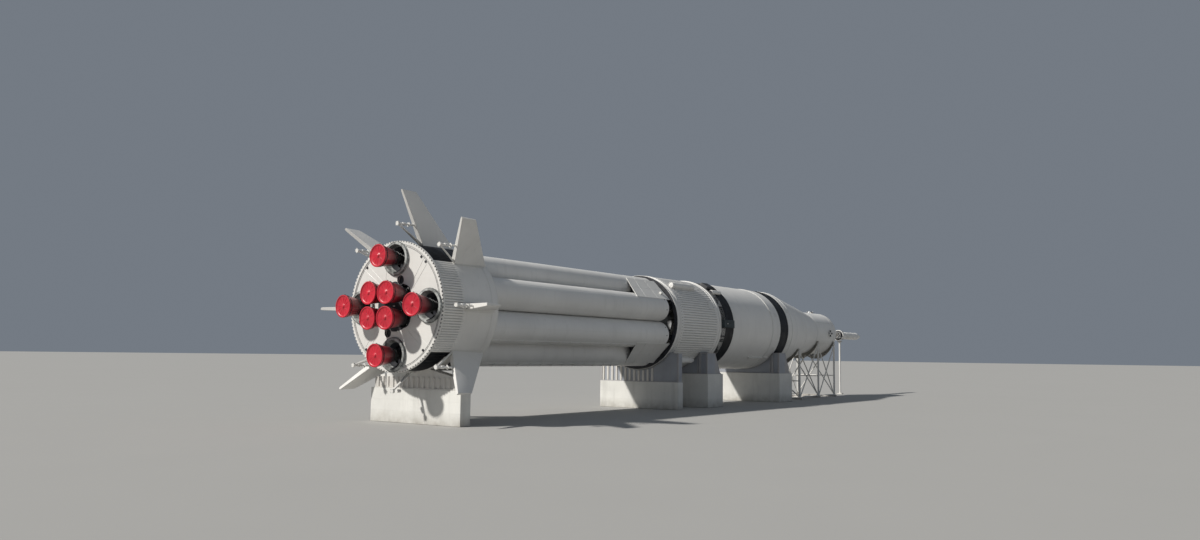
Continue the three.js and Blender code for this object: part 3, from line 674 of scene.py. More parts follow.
def shroud():
    """Tail shroud: white sides with lengthwise ribs, a plain collar, and black quadrants above and below."""
    sizes = bpy.context.scene.rocket_sizes
    ribs, depth = sizes.shroud_ribs, sizes.shroud_rib_depth
    aft, front = reach("tail_shroud")
    collar = reach("shroud_panel_top")[1]
    r, inner = SHROUD_R, SHROUD_R - 0.07
    rib_end = SHROUD_RIB_END

    def phase(a):
        """Place of an angle within its rib, 0 in the middle of a groove."""
        return ((a + math.pi / 4) / math.tau * ribs) % 1.0

    def rib(s, size, a):
        if size < r - 0.02 or s < aft + 0.02 or s > rib_end:
            return 0.0
        return -depth * rib_edge(phase(a)) * smooth_step(rib_end + 0.01, rib_end - 0.1, s)

    # Groove floors take the grimy paint, darkened further as painted shade.
    def groove(p):
        if not aft < p.x < rib_end:
            return 0
        return 1 if math.hypot(p.y, p.z) < r - depth * 0.5 else 0

    skin = [(aft, inner), (aft, r), (aft + 0.015, r), (aft + 0.05, r), (rib_end - 0.1, r),
            (rib_end + 0.01, r), (rib_end + 0.06, r)]
    side = skin + [(4.1, r), (4.11, r + 0.006), (4.15, r + 0.006), (4.16, r), (collar, r), (collar, inner)]
    steps = ribs // 4 * 6
    whites = Shape()
    for first in (-45, 135):
        whites.turned(side, steps, groove, span=(first + 0.05, first + 89.95), loop=True, wave=rib)
    band = [(collar + GAP, inner), (collar + GAP, r + 0.004), (5.07, r + 0.006), (5.09, r), (5.4, r),
            (5.42, r + 0.01), (front, r + 0.01), (front, inner)]
    whites.turned(band, HULL_STEPS, loop=True)
    whites.studs_round(5.035, r + 0.004, 120, 0.012, 0.01)
    whites.studs_round(5.46, r + 0.008, 120, 0.012, 0.01)
    for at in (0, 180):
        for offset in (-3.6, 3.6):
            whites.box((3.0, 4.9), (-0.05, 0.05), (-0.01, 0.012), place=seat(0, r, at + offset))
    piece("shroud_skin", whites, "vehicle", ("white", "groove_grime_and_shade"), ["tail_shroud"])
    for name, first in (("top", 45), ("bottom", 225)):
        panel = Shape()
        rows = side[:-2] + [(collar - GAP, r), (collar - GAP, inner)]
        panel.turned(rows, steps, span=(first + 0.05, first + 89.95), loop=True, wave=rib)
        panel.studs_round(4.94, r, 30, 0.011, 0.009, span=(first + 1, first + 89))
        piece("shroud_quadrant_" + name, panel, "vehicle", ("black",), ["shroud_panel_" + name])


FIN_ROOT_R = 3.272
FIN_TIP_R = 6.08
# Station and half thickness of each edge of a fin, at the root and at the tip.
FIN_EDGES = {"aft": ((2.99, 0.16), (1.47, 0.075)), "front": ((5.45, 0.05), (2.5, 0.03))}
BRACKET_S = 1.3
BRACKET_R = 4.28


def fin_section(u):
    """Outline of a fin from the root, u = 0, to the tip, u = 1: a blunt back and a rounded front."""
    (root_s, root_h), (tip_s, tip_h) = FIN_EDGES["aft"]
    aft, back = root_s + (tip_s - root_s) * u, root_h + (tip_h - root_h) * u
    (root_s, root_h), (tip_s, tip_h) = FIN_EDGES["front"]
    front, nose = root_s + (tip_s - root_s) * u, root_h + (tip_h - root_h) * u
    z = FIN_ROOT_R + (FIN_TIP_R - FIN_ROOT_R) * u
    chord = front - aft
    upper = [(aft, back - 0.014), (aft + 0.014, back), (aft + chord * 0.08, back * 0.985)]
    upper += [(front - nose, nose)]
    tip = [(front - nose + nose * math.sin(a), nose * math.cos(a))
           for a in (math.radians(d) for d in (30, 60, 90))]
    half = upper + tip
    lower = [(s, -t) for s, t in reversed(half[:-1])]
    return [(s, t, z) for s, t in half + lower]


def fin_blade(shape, place):
    """The blade of a fin with its edge fasteners and root strips, placed round the axis."""
    levels = [0, 0.03, 0.25, 0.5, 0.75, 0.965, 1.0]
    sections = [fin_section(u) for u in levels]
    sections[-1] = [(s + (2.0 - s) * 0.02, t * 0.8, z) for s, t, z in sections[-1]]
    shape.loft(sections, place=place)
    for side in (-1, 1):
        outward = Matrix.Rotation(-side * math.radians(90), 4, "X")
        for k in range(22):
            s, t, z = fin_section(0.04 + 0.92 * k / 21)[2]
            stud = Matrix.Translation((s - 0.03, side * t, z)) @ outward
            shape.stud(place @ stud, 0.014, 0.008, sides=6)
        shape.box((3.02, 5.2), sorted((side * 0.06, side * 0.2)), (FIN_ROOT_R - 0.012, FIN_ROOT_R + 0.02),
                  place=place)
        for k in range(14):
            stud = Matrix.Translation((3.1 + k * 0.155, side * 0.175, FIN_ROOT_R + 0.02))
            shape.stud(place @ stud, 0.013, 0.009, sides=6)


def fin_bracket(shape, place, foot_s):
    """The stout bracket that reaches aft from the foot of a fin."""
    end = Vector((BRACKET_S, 0, BRACKET_R))
    for y in (-0.09, 0.09):
        foot = Vector((foot_s, y, 3.31))
        shape.bar(end, foot, 0.045, 12, place=place)
        shape.bar(foot + Vector((-0.04, 0, -0.03)), foot + Vector((0.04, 0, 0.02)), 0.06, 12, place=place)
    shape.box((BRACKET_S - 0.06, BRACKET_S - 0.02), (-0.10, 0.10), (BRACKET_R - 0.11, BRACKET_R + 0.11),
              place=place)
    shape.box((BRACKET_S - 0.02, BRACKET_S + 0.1), (-0.05, 0.05), (BRACKET_R - 0.09, BRACKET_R + 0.09),
              place=place)
    drum = [(0, 0), (0, 0.07), (0.015, 0.085), (0.2, 0.085), (0.22, 0.07), (0.22, 0)]
    shape.turned(drum, 24, 0, place @ Matrix.Translation((BRACKET_S + 0.3, 0, BRACKET_R + 0.01)))
    for y in (-0.075, 0.075):
        for z in (-0.08, 0.08):
            bolt = (BRACKET_S - 0.075, y, BRACKET_R + z)
            shape.bar(bolt, (BRACKET_S - 0.05, y, BRACKET_R + z), 0.016, 8, paint=1, place=place)


def fins():
    """Seven swept fins with brackets, and the lone bracket underneath."""
    for name, at in FINS.items():
        shape = Shape()
        place = seat(0, 0, at)
        fin_blade(shape, place)
        fin_bracket(shape, place, 3.02)
        arm = Vector((BRACKET_S, 0, BRACKET_R))
        shape.bar(arm, (2.5, 0, BRACKET_R + 0.04), 0.055, 16, place=place)
        shape.box((2.02, 2.06), (-0.09, 0.09), (BRACKET_R - 0.08, BRACKET_R + 0.12), place=place)
        piece(name + "_skin", shape, "vehicle", ("white", "steel"), [name], sharp=25)
    shape = Shape()
    place = seat(0, 0, 270)
    fin_bracket(shape, place, 2.5)
    shape.box((2.3, 2.7), (-0.16, 0.16), (3.272, 3.36), place=place)
    for s in (2.35, 2.65):
        for y in (-0.12, 0.12):
            shape.stud(place @ Matrix.Translation((s, y, 3.36)), 0.02, 0.014, 1)
    piece("bottom_bracket", shape, "vehicle", ("white", "steel"), ["bracket_bottom"])


GIMBAL_STATION = 2.54
OUTER_ENGINE_R = 2.41
INNER_ENGINE_R = 0.81
ENGINE_CANT = math.radians(2)
COVER_NECK = -1.6
COVER_RIM = -2.54
RIM_R = 0.588
LUG_ANGLES = (62, 84, 112)
LUG_RING_R = 0.578


def covered_engine(shape, place, seed):
    """Bell, dark curtain and red cover, drawn aft of the gimbal centre."""
    bell = [(-0.1, 0), (-0.1, 0.24), (-0.16, 0.27), (-0.3, 0.25), (-0.55, 0.19), (-0.72, 0.17), (-0.8, 0.19),
            (-1.0, 0.25), (-1.25, 0.315), (-1.5, 0.375), (-1.6, 0.39)]
    shape.turned(bell, 48, 1, place, wave=lambda s, r, a: 0.006 * math.sin(a * 24) if s < -0.8 else 0)
    for s, r in ((-0.86, 0.217), (-1.1, 0.285), (-1.34, 0.345)):
        hoop = [(s - 0.02, r), (s - 0.014, r + 0.022), (s + 0.014, r + 0.018), (s + 0.02, r - 0.01)]
        shape.turned(hoop, 40, 1, place, loop=True)
    curtain = [(-0.74, 0.165), (-0.70, 0.3), (-0.66, 0.58), (-0.64, 0.585), (-0.68, 0.3), (-0.7, 0.165)]
    shape.turned(curtain, 64, 2, place, loop=True)
    neck, rim = COVER_NECK, COVER_RIM
    sleeve = [(neck + 0.09, 0.378), (neck + 0.04, 0.395)]
    for k in range(19):
        t = k / 18
        sleeve.append((neck + (rim + 0.12 - neck) * t, 0.425 + 0.145 * t))
    edge = [(rim + 0.1, RIM_R - 0.013), (rim + 0.08, RIM_R - 0.002), (rim + 0.03, RIM_R),
            (rim + 0.005, RIM_R - 0.006), (rim, RIM_R - 0.02)]
    dish = [(rim, RIM_R - 0.05), (rim + 0.014, 0.525), (rim + 0.038, 0.50), (rim + 0.046, 0.47),
            (rim + 0.046, 0.33), (rim + 0.044, 0.2), (rim + 0.036, 0.11), (rim + 0.02, 0.09),
            (rim + 0.002, 0.082), (rim - 0.008, 0.06), (rim - 0.014, 0.03), (rim - 0.015, 0)]

    def creases(s, r, a):
        if s > rim + 0.11:
            fold = noise.noise(Vector((math.cos(a) * 2.4, math.sin(a) * 2.4, s * 1.6 + seed * 7)))
            ridge = noise.noise(Vector((math.cos(a) * 9, math.sin(a) * 9, s * 0.9 + seed * 3)))
            return (0.018 * fold + 0.007 * ridge) * smooth_step(neck + 0.05, neck - 0.3, s) - 0.004
        return 0.0

    shape.turned(sleeve + edge + dish, 96, 0, place, wave=creases)
    for s, r in ((neck - 0.05, 0.432), (rim + 0.16, 0.563)):
        band = [(s - 0.022, r), (s - 0.02, r + 0.012), (s + 0.02, r + 0.009), (s + 0.022, r - 0.004)]
        shape.turned(band, 72, 2, place, loop=True)
    # Dark red ring round the rim: painted shade.
    hoop = [(rim + 0.02 + 0.02 * math.cos(a), RIM_R - 0.02 + 0.022 * math.sin(a))
            for a in (math.tau * k / 8 for k in range(8))]
    shape.turned(hoop, 72, 3, place, loop=True)
    for k in range(12):
        pleat = Matrix.Rotation(math.tau * k / 12, 4, "X")
        shape.bar((rim + 0.044, 0, 0.13), (rim + 0.040, 0, 0.48), 0.006, 5, 0.004, 0, place @ pleat)
    for k in range(6):
        a = math.tau * (k + 0.5) / 6
        rivet = Matrix.Translation((rim + 0.01, -0.068 * math.cos(a), 0.068 * math.sin(a))) @ BACKWARD
        shape.turned([(0, 0), (0, 0.008), (0.012, 0.006), (0.012, 0)], 6, 2, place @ rivet)


def lugs(shape, r, at):
    """Small dark hooks on the upper edge of the cover whose rim is centred at a radius and an angle."""
    centre = Vector((0.08, *polar(0, r, at)[1:]))
    for turn in LUG_ANGLES:
        hook = Matrix.Translation(centre) @ seat(0, LUG_RING_R, turn)
        shape.box((-0.03, 0.05), (-0.016, 0.016), (-0.01, 0.022), 2, hook)
        shape.bar((0.0, 0, 0.01), (-0.02, 0, 0.045), 0.012, 6, paint=2, place=hook)


def engines():
    """Eight engines: four steered ones with yokes, and four fixed ones in the middle."""
    cover_paints = ("red", "bell", "dark", "shaded_rim")
    tilt = Matrix.Rotation(ENGINE_CANT, 4, "Y")
    arm = -COVER_RIM * math.sin(ENGINE_CANT)
    for seed, (name, at) in enumerate(OUTER_ENGINES.items()):
        shape = Shape()
        place = seat(GIMBAL_STATION, OUTER_ENGINE_R, at)
        covered_engine(shape, place @ tilt, seed)
        lugs(shape, OUTER_ENGINE_R + arm, at)
        upright = Matrix.Translation(polar(GIMBAL_STATION, OUTER_ENGINE_R, at))
        for low, high in ((-0.1, -0.07), (0.07, 0.1)):
            shape.box((-0.12, 0.045), (-0.048, 0.048), (low, high), 1, upright)
        shape.box((-0.16, -0.11), (-0.1, 0.1), (-0.1, 0.1), 1, upright)
        piece("steered_engine_" + name, shape, "engine_" + name, cover_paints, ["engine_" + name],
              sharp=38)
    for seed, (name, at) in enumerate(INNER_ENGINES.items()):
        shape = Shape()
        place = seat(GIMBAL_STATION, INNER_ENGINE_R, at)
        covered_engine(shape, place @ tilt, seed + 4)
        lugs(shape, INNER_ENGINE_R + arm, at)
        shape.turned([(-0.15, 0), (-0.15, 0.12), (0.295, 0.12), (0.295, 0)], 24, 1, place)
        piece("fixed_engine_" + name, shape, "vehicle", cover_paints, ["inner_engine_" + name],
              sharp=38)


def frame_metal():
    """Steel on the CAD nodes that are shown as they are."""
    kept = ["thrust_frame", "upper_engine"] + ["gimbal_block_" + name for name in OUTER_ENGINES]
    for name in kept:
        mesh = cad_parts[name].data
        mesh.materials.clear()
        mesh.materials.append(paints["steel"])


TANK_R = 0.89
CENTRE_TANK_R = 1.33
TANK_RING_R = 2.33
TANK_DOME = 0.42
TANK_STUB = 0.38
WELD_PITCH = 3.05
# Turn from the outward side and radius of each duct, by the number of its tank.
TANK_DUCTS = {6: ((6, 0.05), (16, 0.035)), 7: ((-30, 0.03),)}


def tank_shape(r, aft, front, stub, turn, steps):
    """A tank with domed ends, weld beads, a forward skirt joint and vent plugs."""
    shape = Shape()
    dome = [math.radians(a) for a in (0, 12, 24, 36, 48, 60, 72, 82)]
    back = [(aft + TANK_DOME * (1 - math.cos(a)), r * math.sin(a)) for a in dome]
    fore = [(front - TANK_DOME * (1 - math.cos(a)), r * math.sin(a)) for a in reversed(dome[1:])]
    barrel = [(aft + TANK_DOME, r)]
    beads = [aft + TANK_DOME + 0.9 + WELD_PITCH * k for k in range(6)]
    for s in beads:
        barrel += ridge_line(s, r, 0.03, 0.012, 0.005)
    joint = front - 1.35
    barrel += ridge_line(joint, r, 0.02, 0.005, -0.012)
    barrel += [(front - TANK_DOME, r)]
    end = [(front - 0.004, 0.12), (stub, 0.12), (stub, 0)]
    shape.turned([(aft, 0)] + back[1:] + barrel + fore + end, steps)
    for at in (turn + 20, turn - 75, turn + 160):
        for s0, s1 in zip(beads, beads[1:]):
            seam = seat(0, r - 0.003, at)
            shape.bar((s0 + 0.03, 0, 0), (s1 - 0.03, 0, 0), 0.007, 5, place=seam)
    for at in (turn - 30, turn + 18, turn + 55):
        plug = seat(front - 0.62, r - 0.004, at)
        shape.turned([(0, 0), (0, 0.045), (0.012, 0.04), (0.016, 0.02), (0.016, 0)], 16, 1, plug @ UPRIGHT)
    return shape


def tanks():
    """One large tank ringed by eight, with cable ducts on the two low near ones."""
    white = ("white", "dark")
    for i, at in enumerate(TANK_ANGLES):
        name = "tank_outer_%d" % (i + 1)
        aft, stub = reach(name)
        shape = tank_shape(TANK_R, aft, stub - TANK_STUB, stub, at, 72)
        for turn, size in TANK_DUCTS.get(i, ()):
            duct = seat(0, TANK_R + size * 0.6, at + turn)
            shape.bar((aft + 1.6, 0, 0), (19.6, 0, 0), size, 10, place=duct)
            for k in range(13):
                s = aft + 2.2 + k * 1.05
                shape.box((s, s + 0.05), (-size - 0.03, size + 0.03), (-0.03, size + 0.006), place=duct)
        moved = Matrix.Translation(polar(0, TANK_RING_R, at))
        shape.points = [moved @ p for p in shape.points]
        piece("outer_tank_%d" % (i + 1), shape, "vehicle", white, [name], sharp=40)
    aft, stub = reach("tank_centre")
    shape = tank_shape(CENTRE_TANK_R, aft, stub - TANK_STUB, stub, 0, 80)
    piece("centre_tank", shape, "vehicle", white, ["tank_centre"], sharp=40)


HULL_R = 3.3


def beam():
    """Ring, hub and spokes ahead of the tanks, with painted shade on the ring's aft face and inner faces, the
    hub and the spokes.
    """
    aft, front = reach("spider_beam")
    shape = Shape()
    ring = [(aft, 3.0), (aft, HULL_R - 0.02), (aft + 0.02, HULL_R), (aft + 0.10, HULL_R),
            (aft + 0.11, HULL_R - 0.035), (front - 0.11, HULL_R - 0.035), (front - 0.10, HULL_R),
            (front - 0.005, HULL_R), (front - 0.005, 3.0)]
    # The ring's aft face and its inner faces take the dark finish as painted shade.
    shape.turned(ring, HULL_STEPS, lambda p: 1 if p.x < aft + 0.005 or math.hypot(p.y, p.z) < 3.1 else 0,
                 loop=True)
    # The hub and the spokes take the dark finish as painted shade.
    shape.turned([(aft, 0), (aft, 0.8), (front - 0.05, 0.8), (front - 0.05, 0)], 48, 1)
    for at in TANK_ANGLES:
        spoke = seat(0, 0, at)
        shape.box((aft, front - 0.05), (-0.04, 0.04), (0.6, 3.05), 1, spoke)
        for s in ((aft, aft + 0.04), (front - 0.09, front - 0.05)):
            shape.box(s, (-0.14, 0.14), (0.6, 3.05), 1, spoke)
        for r in (1.2, 1.8, 2.4):
            shape.box((aft + 0.04, front - 0.09), (-0.12, 0.12), (r, r + 0.04), 1, spoke)
    shape.studs_round(aft + 0.055, HULL_R, 96, 0.016, 0.012)
    piece("beam_ring", shape, "vehicle", ("white", "dark"), ["spider_beam"])


# Angle of each panel, and the side to which its aft edge slants.
PANELS = {
    "tank_panel_upper_near": (45, -1),
    "tank_panel_upper_far": (135, 1),
    "tank_panel_lower_far": (225, -1),
    "tank_panel_lower_near": (315, 1),
}
PANEL_HALF = 0.93
PANEL_FACE = 3.072
PANEL_AFT_SIDE = 19.6
PANEL_AFT_TOP = 20.25
PANEL_FRONT = 23.7
PANEL_SHARES = (0.0, 0.262, 0.264, 0.268, 0.27, 0.628, 0.63, 0.634, 0.636, 1.0)
PANEL_SEAMS = (0.264, 0.268, 0.63, 0.634)
PANEL_SEAM_DEPTH = 0.016
TANK_ROOM_R = 0.905


def valley_outline(top):
    """Half the room between two tanks below a panel: (width, height) pairs from the panel down."""
    y, z = TANK_RING_R * math.sin(math.radians(22.5)), TANK_RING_R * math.cos(math.radians(22.5))
    heights = [top - 0.11 * k for k in range(7)]
    return [(max(0.002, y - math.sqrt(max(TANK_ROOM_R ** 2 - (h - z) ** 2, 0.0))), h) for h in heights]


def tank_panels():
    """Flat panels over the valleys between the tanks; where their slanted aft ends stand open, dark closing
    plates and lips are painted shade.
    """
    for name, (at, side) in PANELS.items():
        shape = Shape()
        place = seat(0, 0, at)
        low, high = PANEL_FACE - 0.034, PANEL_FACE

        def aft_edge(y):
            return PANEL_AFT_SIDE + (PANEL_AFT_TOP - PANEL_AFT_SIDE) * (0.5 - side * y / PANEL_HALF / 2)

        edge = [(-PANEL_HALF, low), (-PANEL_HALF, high - 0.012), (-PANEL_HALF + 0.02, high), (-0.02, high),
                (0.0, high - 0.01), (0.02, high), (PANEL_HALF - 0.02, high), (PANEL_HALF, high - 0.012),
                (PANEL_HALF, low)]
        sections = []
        for t in PANEL_SHARES:
            dip = PANEL_SEAM_DEPTH if t in PANEL_SEAMS else 0.0
            rows = []
            for y, z in edge:
                s = aft_edge(y)
                rows.append((s + (PANEL_FRONT - s) * t, y, z - (dip if z > low else 0.0)))
            sections.append(rows)
        shape.loft(sections, place=place)
        for y in (-0.86, -0.46, 0.07, 0.46, 0.86):
            first = aft_edge(y) + 0.1
            count = int((PANEL_FRONT - 0.1 - first) / 0.16)
            for k in range(count + 1):
                spot = Matrix.Translation((first + (PANEL_FRONT - 0.1 - first) * k / count, y, high))
                shape.stud(place @ spot, 0.011, 0.007, sides=6)
        half = valley_outline(low - 0.01)
        outline = half + [(-y, z) for y, z in reversed(half)]
        # Dark closing plates behind the open ends: painted shade.
        shape.plate([outline], PANEL_AFT_TOP + 0.1, PANEL_AFT_TOP + 0.16, 1, place)
        shape.plate([outline], PANEL_FRONT - 0.14, PANEL_FRONT - 0.08, 1, place)
        # Dark lip under the aft edge: painted shade.
        lip = [(-PANEL_HALF, low - 0.03), (-PANEL_HALF, low + 0.004), (PANEL_HALF, low + 0.004),
               (PANEL_HALF, low - 0.03)]
        for t in (0.0, 0.05):
            rows = [[(aft_edge(y) + ahead + t, y, z) for y, z in lip] for ahead in (0.02, 0.05)]
            shape.loft(rows, 1, place)
        if name == "tank_panel_upper_near":
            shape.box((23.0, 23.22), (-0.46, -0.3), (high - 0.01, high + 0.14), place=place)
        piece(name + "_skin", shape, "vehicle", ("white", "dark"), [name], sharp=20)


RETRO_ANGLES = (50, 130, 230, 310)
RETRO_CENTRE = HULL_R + 0.13
INTERSTAGE_RIBS = (24.8, 29.73)
INTERSTAGE_BAND_R = 3.318


def interstage():
    """Ribbed skin between the stages, with a bright flange ahead and four small rocket fairings."""
    sizes = bpy.context.scene.rocket_sizes
    ribs, depth = sizes.interstage_ribs, sizes.interstage_rib_depth
    aft, front = reach("interstage")
    (first, last), band_r = INTERSTAGE_RIBS, INTERSTAGE_BAND_R

    def phase(a):
        return (a / math.tau * ribs) % 1.0

    def rib(s, size, a):
        if size < HULL_R - 0.05 or not first + 0.01 < s < last - 0.01:
            return 0.0
        return -depth * rib_edge(phase(a))

    # Groove floors take the grimy paint, darkened further as painted shade.
    def groove(p):
        return 2 if first < p.x < last and math.hypot(p.y, p.z) < HULL_R - depth * 0.5 else 0

    skin = [(aft, 3.2), (aft, HULL_R), (aft + 0.02, band_r), (first - 0.005, band_r), (first, HULL_R),
            (first + 0.04, HULL_R)]
    for s in (26.0, 27.35, 28.7):
        skin += [(s - 0.04, HULL_R), (s + 0.04, HULL_R)]
    skin += [(last - 0.04, HULL_R), (last, HULL_R), (last + 0.005, band_r), (front - 0.15, band_r)]
    skin += [(front - 0.148, 3.345), (front - 0.135, 3.36), (front - 0.02, 3.36), (front - 0.005, 3.345),
             (front - 0.005, 3.2)]
    shape = Shape()
    shape.turned(skin, ribs * 6, groove, loop=True, wave=rib)
    shape.studs_round(aft + 0.17, band_r, 96, 0.024, 0.014, 1)
    shape.studs_round(front - 0.21, band_r, 144, 0.012, 0.010)
    for s in (26.65, 28.0):
        shape.studs_round(s, HULL_R, ribs, 0.010, 0.007, sides=5)
    for at in RETRO_ANGLES:
        place = seat(0, RETRO_CENTRE, at)
        pod = [(24.87, 0), (24.865, 0.1), (24.87, 0.11), (24.87, 0.17), (24.85, 0.175), (24.85, 0.2),
               (24.87, 0.21), (27.4, 0.21), (27.75, 0.19), (28.0, 0.12), (28.2, 0)]
        shape.turned(pod, 32, 0, place)
        shape.box((25.0, 28.05), (-0.24, 0.24), (-0.16, -0.05), place=place)
        for s in (25.15, 26.1, 27.2):
            band = [(s, 0.205), (s, 0.218), (s + 0.06, 0.218), (s + 0.06, 0.205)]
            shape.turned(band, 32, 0, place, loop=True)
            for side in (-1, 1):
                shape.box((s, s + 0.06), sorted((side * 0.2, side * 0.31)), (-0.14, -0.06), place=place)
    shape.box((28.9, 29.5), (-0.28, 0.28), (-0.02, 0.014), place=seat(0, HULL_R, 24))
    finishes = ("white", "dark", "groove_grime_and_shade")
    piece("interstage_skin", shape, "vehicle", finishes, ["interstage"], sharp=30)


def skirt(name, node, rows, extra=None, finish="white"):
    """A plain cylindrical skin with rivet rows at each end."""
    aft, front = reach(node)
    low, high = aft + GAP, front - GAP
    shape = Shape()
    skin = [(low, HULL_R - 0.04), (low, HULL_R - 0.006), (low + 0.012, HULL_R), (high - 0.012, HULL_R),
            (high, HULL_R - 0.006), (high, HULL_R - 0.04)]
    shape.turned(skin, HULL_STEPS, loop=True)
    for s, count in rows:
        shape.studs_round(s, HULL_R, count, 0.012, 0.008)
    if extra:
        extra(shape)
    finishes = (finish, "dark", "white", "teal")
    piece(name, shape, "vehicle", finishes, [node])


def stiffeners(shape, stations, count, start, half, height):
    """Short lengthwise strips on the hull, evenly round it from an angle."""
    for k in range(count):
        shape.box(stations, (-half, half), (-0.01, height), place=seat(0, HULL_R, 360 / count * k + start))


def access_plates(shape, s, angles, size):
    """Bolted cover plates, given by half their length and half their width."""
    for at in angles:
        door = seat(s, HULL_R, at)
        shape.box((-size[0], size[0]), (-size[1], size[1]), (-0.02, 0.012), place=door)
        for ds in (-0.85, 0, 0.85):
            for dy in (-0.8, 0.8):
                shape.stud(door @ Matrix.Translation((ds * size[0], dy * size[1], 0.012)), 0.011, 0.006,
                           sides=6)


def side_module(shape, at, s0, s1, half, paint=0):
    """A small motor box on the aft band with sloping ends."""
    top, low = 0.22, 0.0
    ends = [(s0, low), (s0 + 0.06, top), (s1 - 0.55, top), (s1, 0.06), (s1, low)]
    sections = [[(s, y, z) for s, z in ends] for y in (-half, -half + 0.03, half - 0.03, half)]
    sections[0] = [(s, y, z * 0.86) for s, y, z in sections[0]]
    sections[3] = [(s, y, z * 0.86) for s, y, z in sections[3]]
    shape.loft(sections, paint, seat(0, HULL_R + 0.004, at))
    for ds in (0.3, 0.9):
        shape.stud(seat(s0 + ds, HULL_R + top, at), 0.03, 0.012, paint)


CONTROL_MODULES = (1.7, 181)
ULLAGE_ANGLES = (46.5, 226.5)


def aft_band_fittings(shape):
    """Control modules, a plain box, two small motors and short stiffeners."""
    for at in CONTROL_MODULES:
        side_module(shape, at, 30.33, 32.3, 0.29, 3)
    side_module(shape, 60, 30.42, 32.0, 0.33, 0)
    for at in ULLAGE_ANGLES:
        pod = seat(0, HULL_R + 0.1, at)
        shape.turned([(30.45, 0), (30.45, 0.13), (30.5, 0.16), (31.7, 0.16), (31.85, 0.12), (31.95, 0.06),
                      (31.98, 0)], 28, 2, pod)
        shape.turned([(30.4, 0), (30.4, 0.11), (30.46, 0.08), (30.46, 0)], 20, 1, pod)
    for at in CONTROL_MODULES:
        shape.stud(seat(30.9, HULL_R + 0.22, at), 0.05, 0.04, 2, sides=12)
    stiffeners(shape, (32.0, 32.16), 40, 5, 0.01, 0.007)


UPPER_BARREL = (32.32, 39.14)
DUCT_ANGLE = -45.4


def upper_stage():
    """Skirts, bands and tank of the upper stage."""
    aft, front = reach("aft_skirt")

    def aft_details(shape):
        for at in (-14, -16.5, -30, -33, 24, 150, 210):
            shape.stud(seat(30.52, HULL_R, at), 0.035, 0.012, 1)
        stiffeners(shape, (aft + 0.1, aft + 0.2), 60, 3, 0.012, 0.010)

    skirt("aft_skirt_skin", "aft_skirt", [(aft + 0.08, 120), (front - 0.07, 120)], aft_details)
    skirt("aft_band_skin", "aft_band", [(31.1, 120), (32.25, 120)], aft_band_fittings, "black")

    aft, front = reach("upper_tank")
    barrel0, barrel1 = UPPER_BARREL
    dome = [(aft, 0), (30.42, 1.0), (30.8, 2.1), (31.3, 2.7), (32.0, 3.18), (barrel0, 3.2), (barrel0, HULL_R)]
    for s in (34.0, 36.6):
        dome += ridge_line(s, HULL_R, 0.03, 0.01, 0.005)
    dome += [(barrel1 - 0.06, HULL_R), (barrel1 - 0.05, HULL_R + 0.012), (barrel1 - 0.004, HULL_R + 0.012),
             (barrel1 - 0.004, 3.2)]
    dome += [(39.7, 2.85), (40.3, 2.3), (40.9, 1.3), (front, 0)]
    shape = Shape()
    shape.turned(dome, HULL_STEPS)
    duct = seat(0, HULL_R, DUCT_ANGLE)
    shape.box((36.6, barrel1 - 0.08), (-0.07, 0.07), (-0.02, 0.12), place=duct)
    for k in range(6):
        s = 36.75 + 0.42 * k
        shape.box((s, s + 0.05), (-0.1, 0.1), (-0.01, 0.02), place=duct)
    for at in (178, 184):
        shape.bar((32.6, 0, 0.03), (38.9, 0, 0.03), 0.05, 10, place=seat(0, HULL_R, at))
    piece("upper_tank_skin", shape, "vehicle", ("white", "dark"), ["upper_tank"])

    def forward_details(shape):
        rib = [(39.2, HULL_R - 0.01), (39.2, HULL_R + 0.028), (39.24, HULL_R + 0.036), (39.29, HULL_R + 0.03),
               (39.3, HULL_R - 0.01)]
        shape.turned(rib, HULL_STEPS, loop=True)
        shape.box((39.34, 40.1), (-0.07, 0.07), (-0.02, 0.12), place=duct)
        access_plates(shape, 40.1, (-30, 20, 150, 210), (0.22, 0.16))
        stiffeners(shape, (39.42, 39.56), 72, 2.5, 0.012, 0.008)

    skirt("forward_skirt_skin", "forward_skirt", [(39.37, 144), (40.64, 144)], forward_details)

    def band_details(shape):
        stiffeners(shape, (41.95, 42.12), 48, 4, 0.012, 0.007)
        access_plates(shape, 41.5, (60, 68, 76, 240), (0.16, 0.12))

    skirt("forward_band_skin", "forward_band", [(40.78, 120), (42.16, 120)], band_details, "black")

    def ring_details(shape):
        for s in (42.3, 43.08):
            hoop = [(s - 0.03, HULL_R - 0.01), (s - 0.02, HULL_R + 0.014), (s + 0.02, HULL_R + 0.014),
                    (s + 0.03, HULL_R - 0.01)]
            shape.turned(hoop, HULL_STEPS, loop=True)
        access_plates(shape, 42.7, (-60, -20, 30, 100, 140, 220), (0.24, 0.26))

    skirt("instrument_ring_skin", "instrument_ring", [(42.4, 120), (42.98, 120)], ring_details)


MODULE_R = 1.96
CREW_BASE_R = 1.93
CREW_TOP_R = 0.62


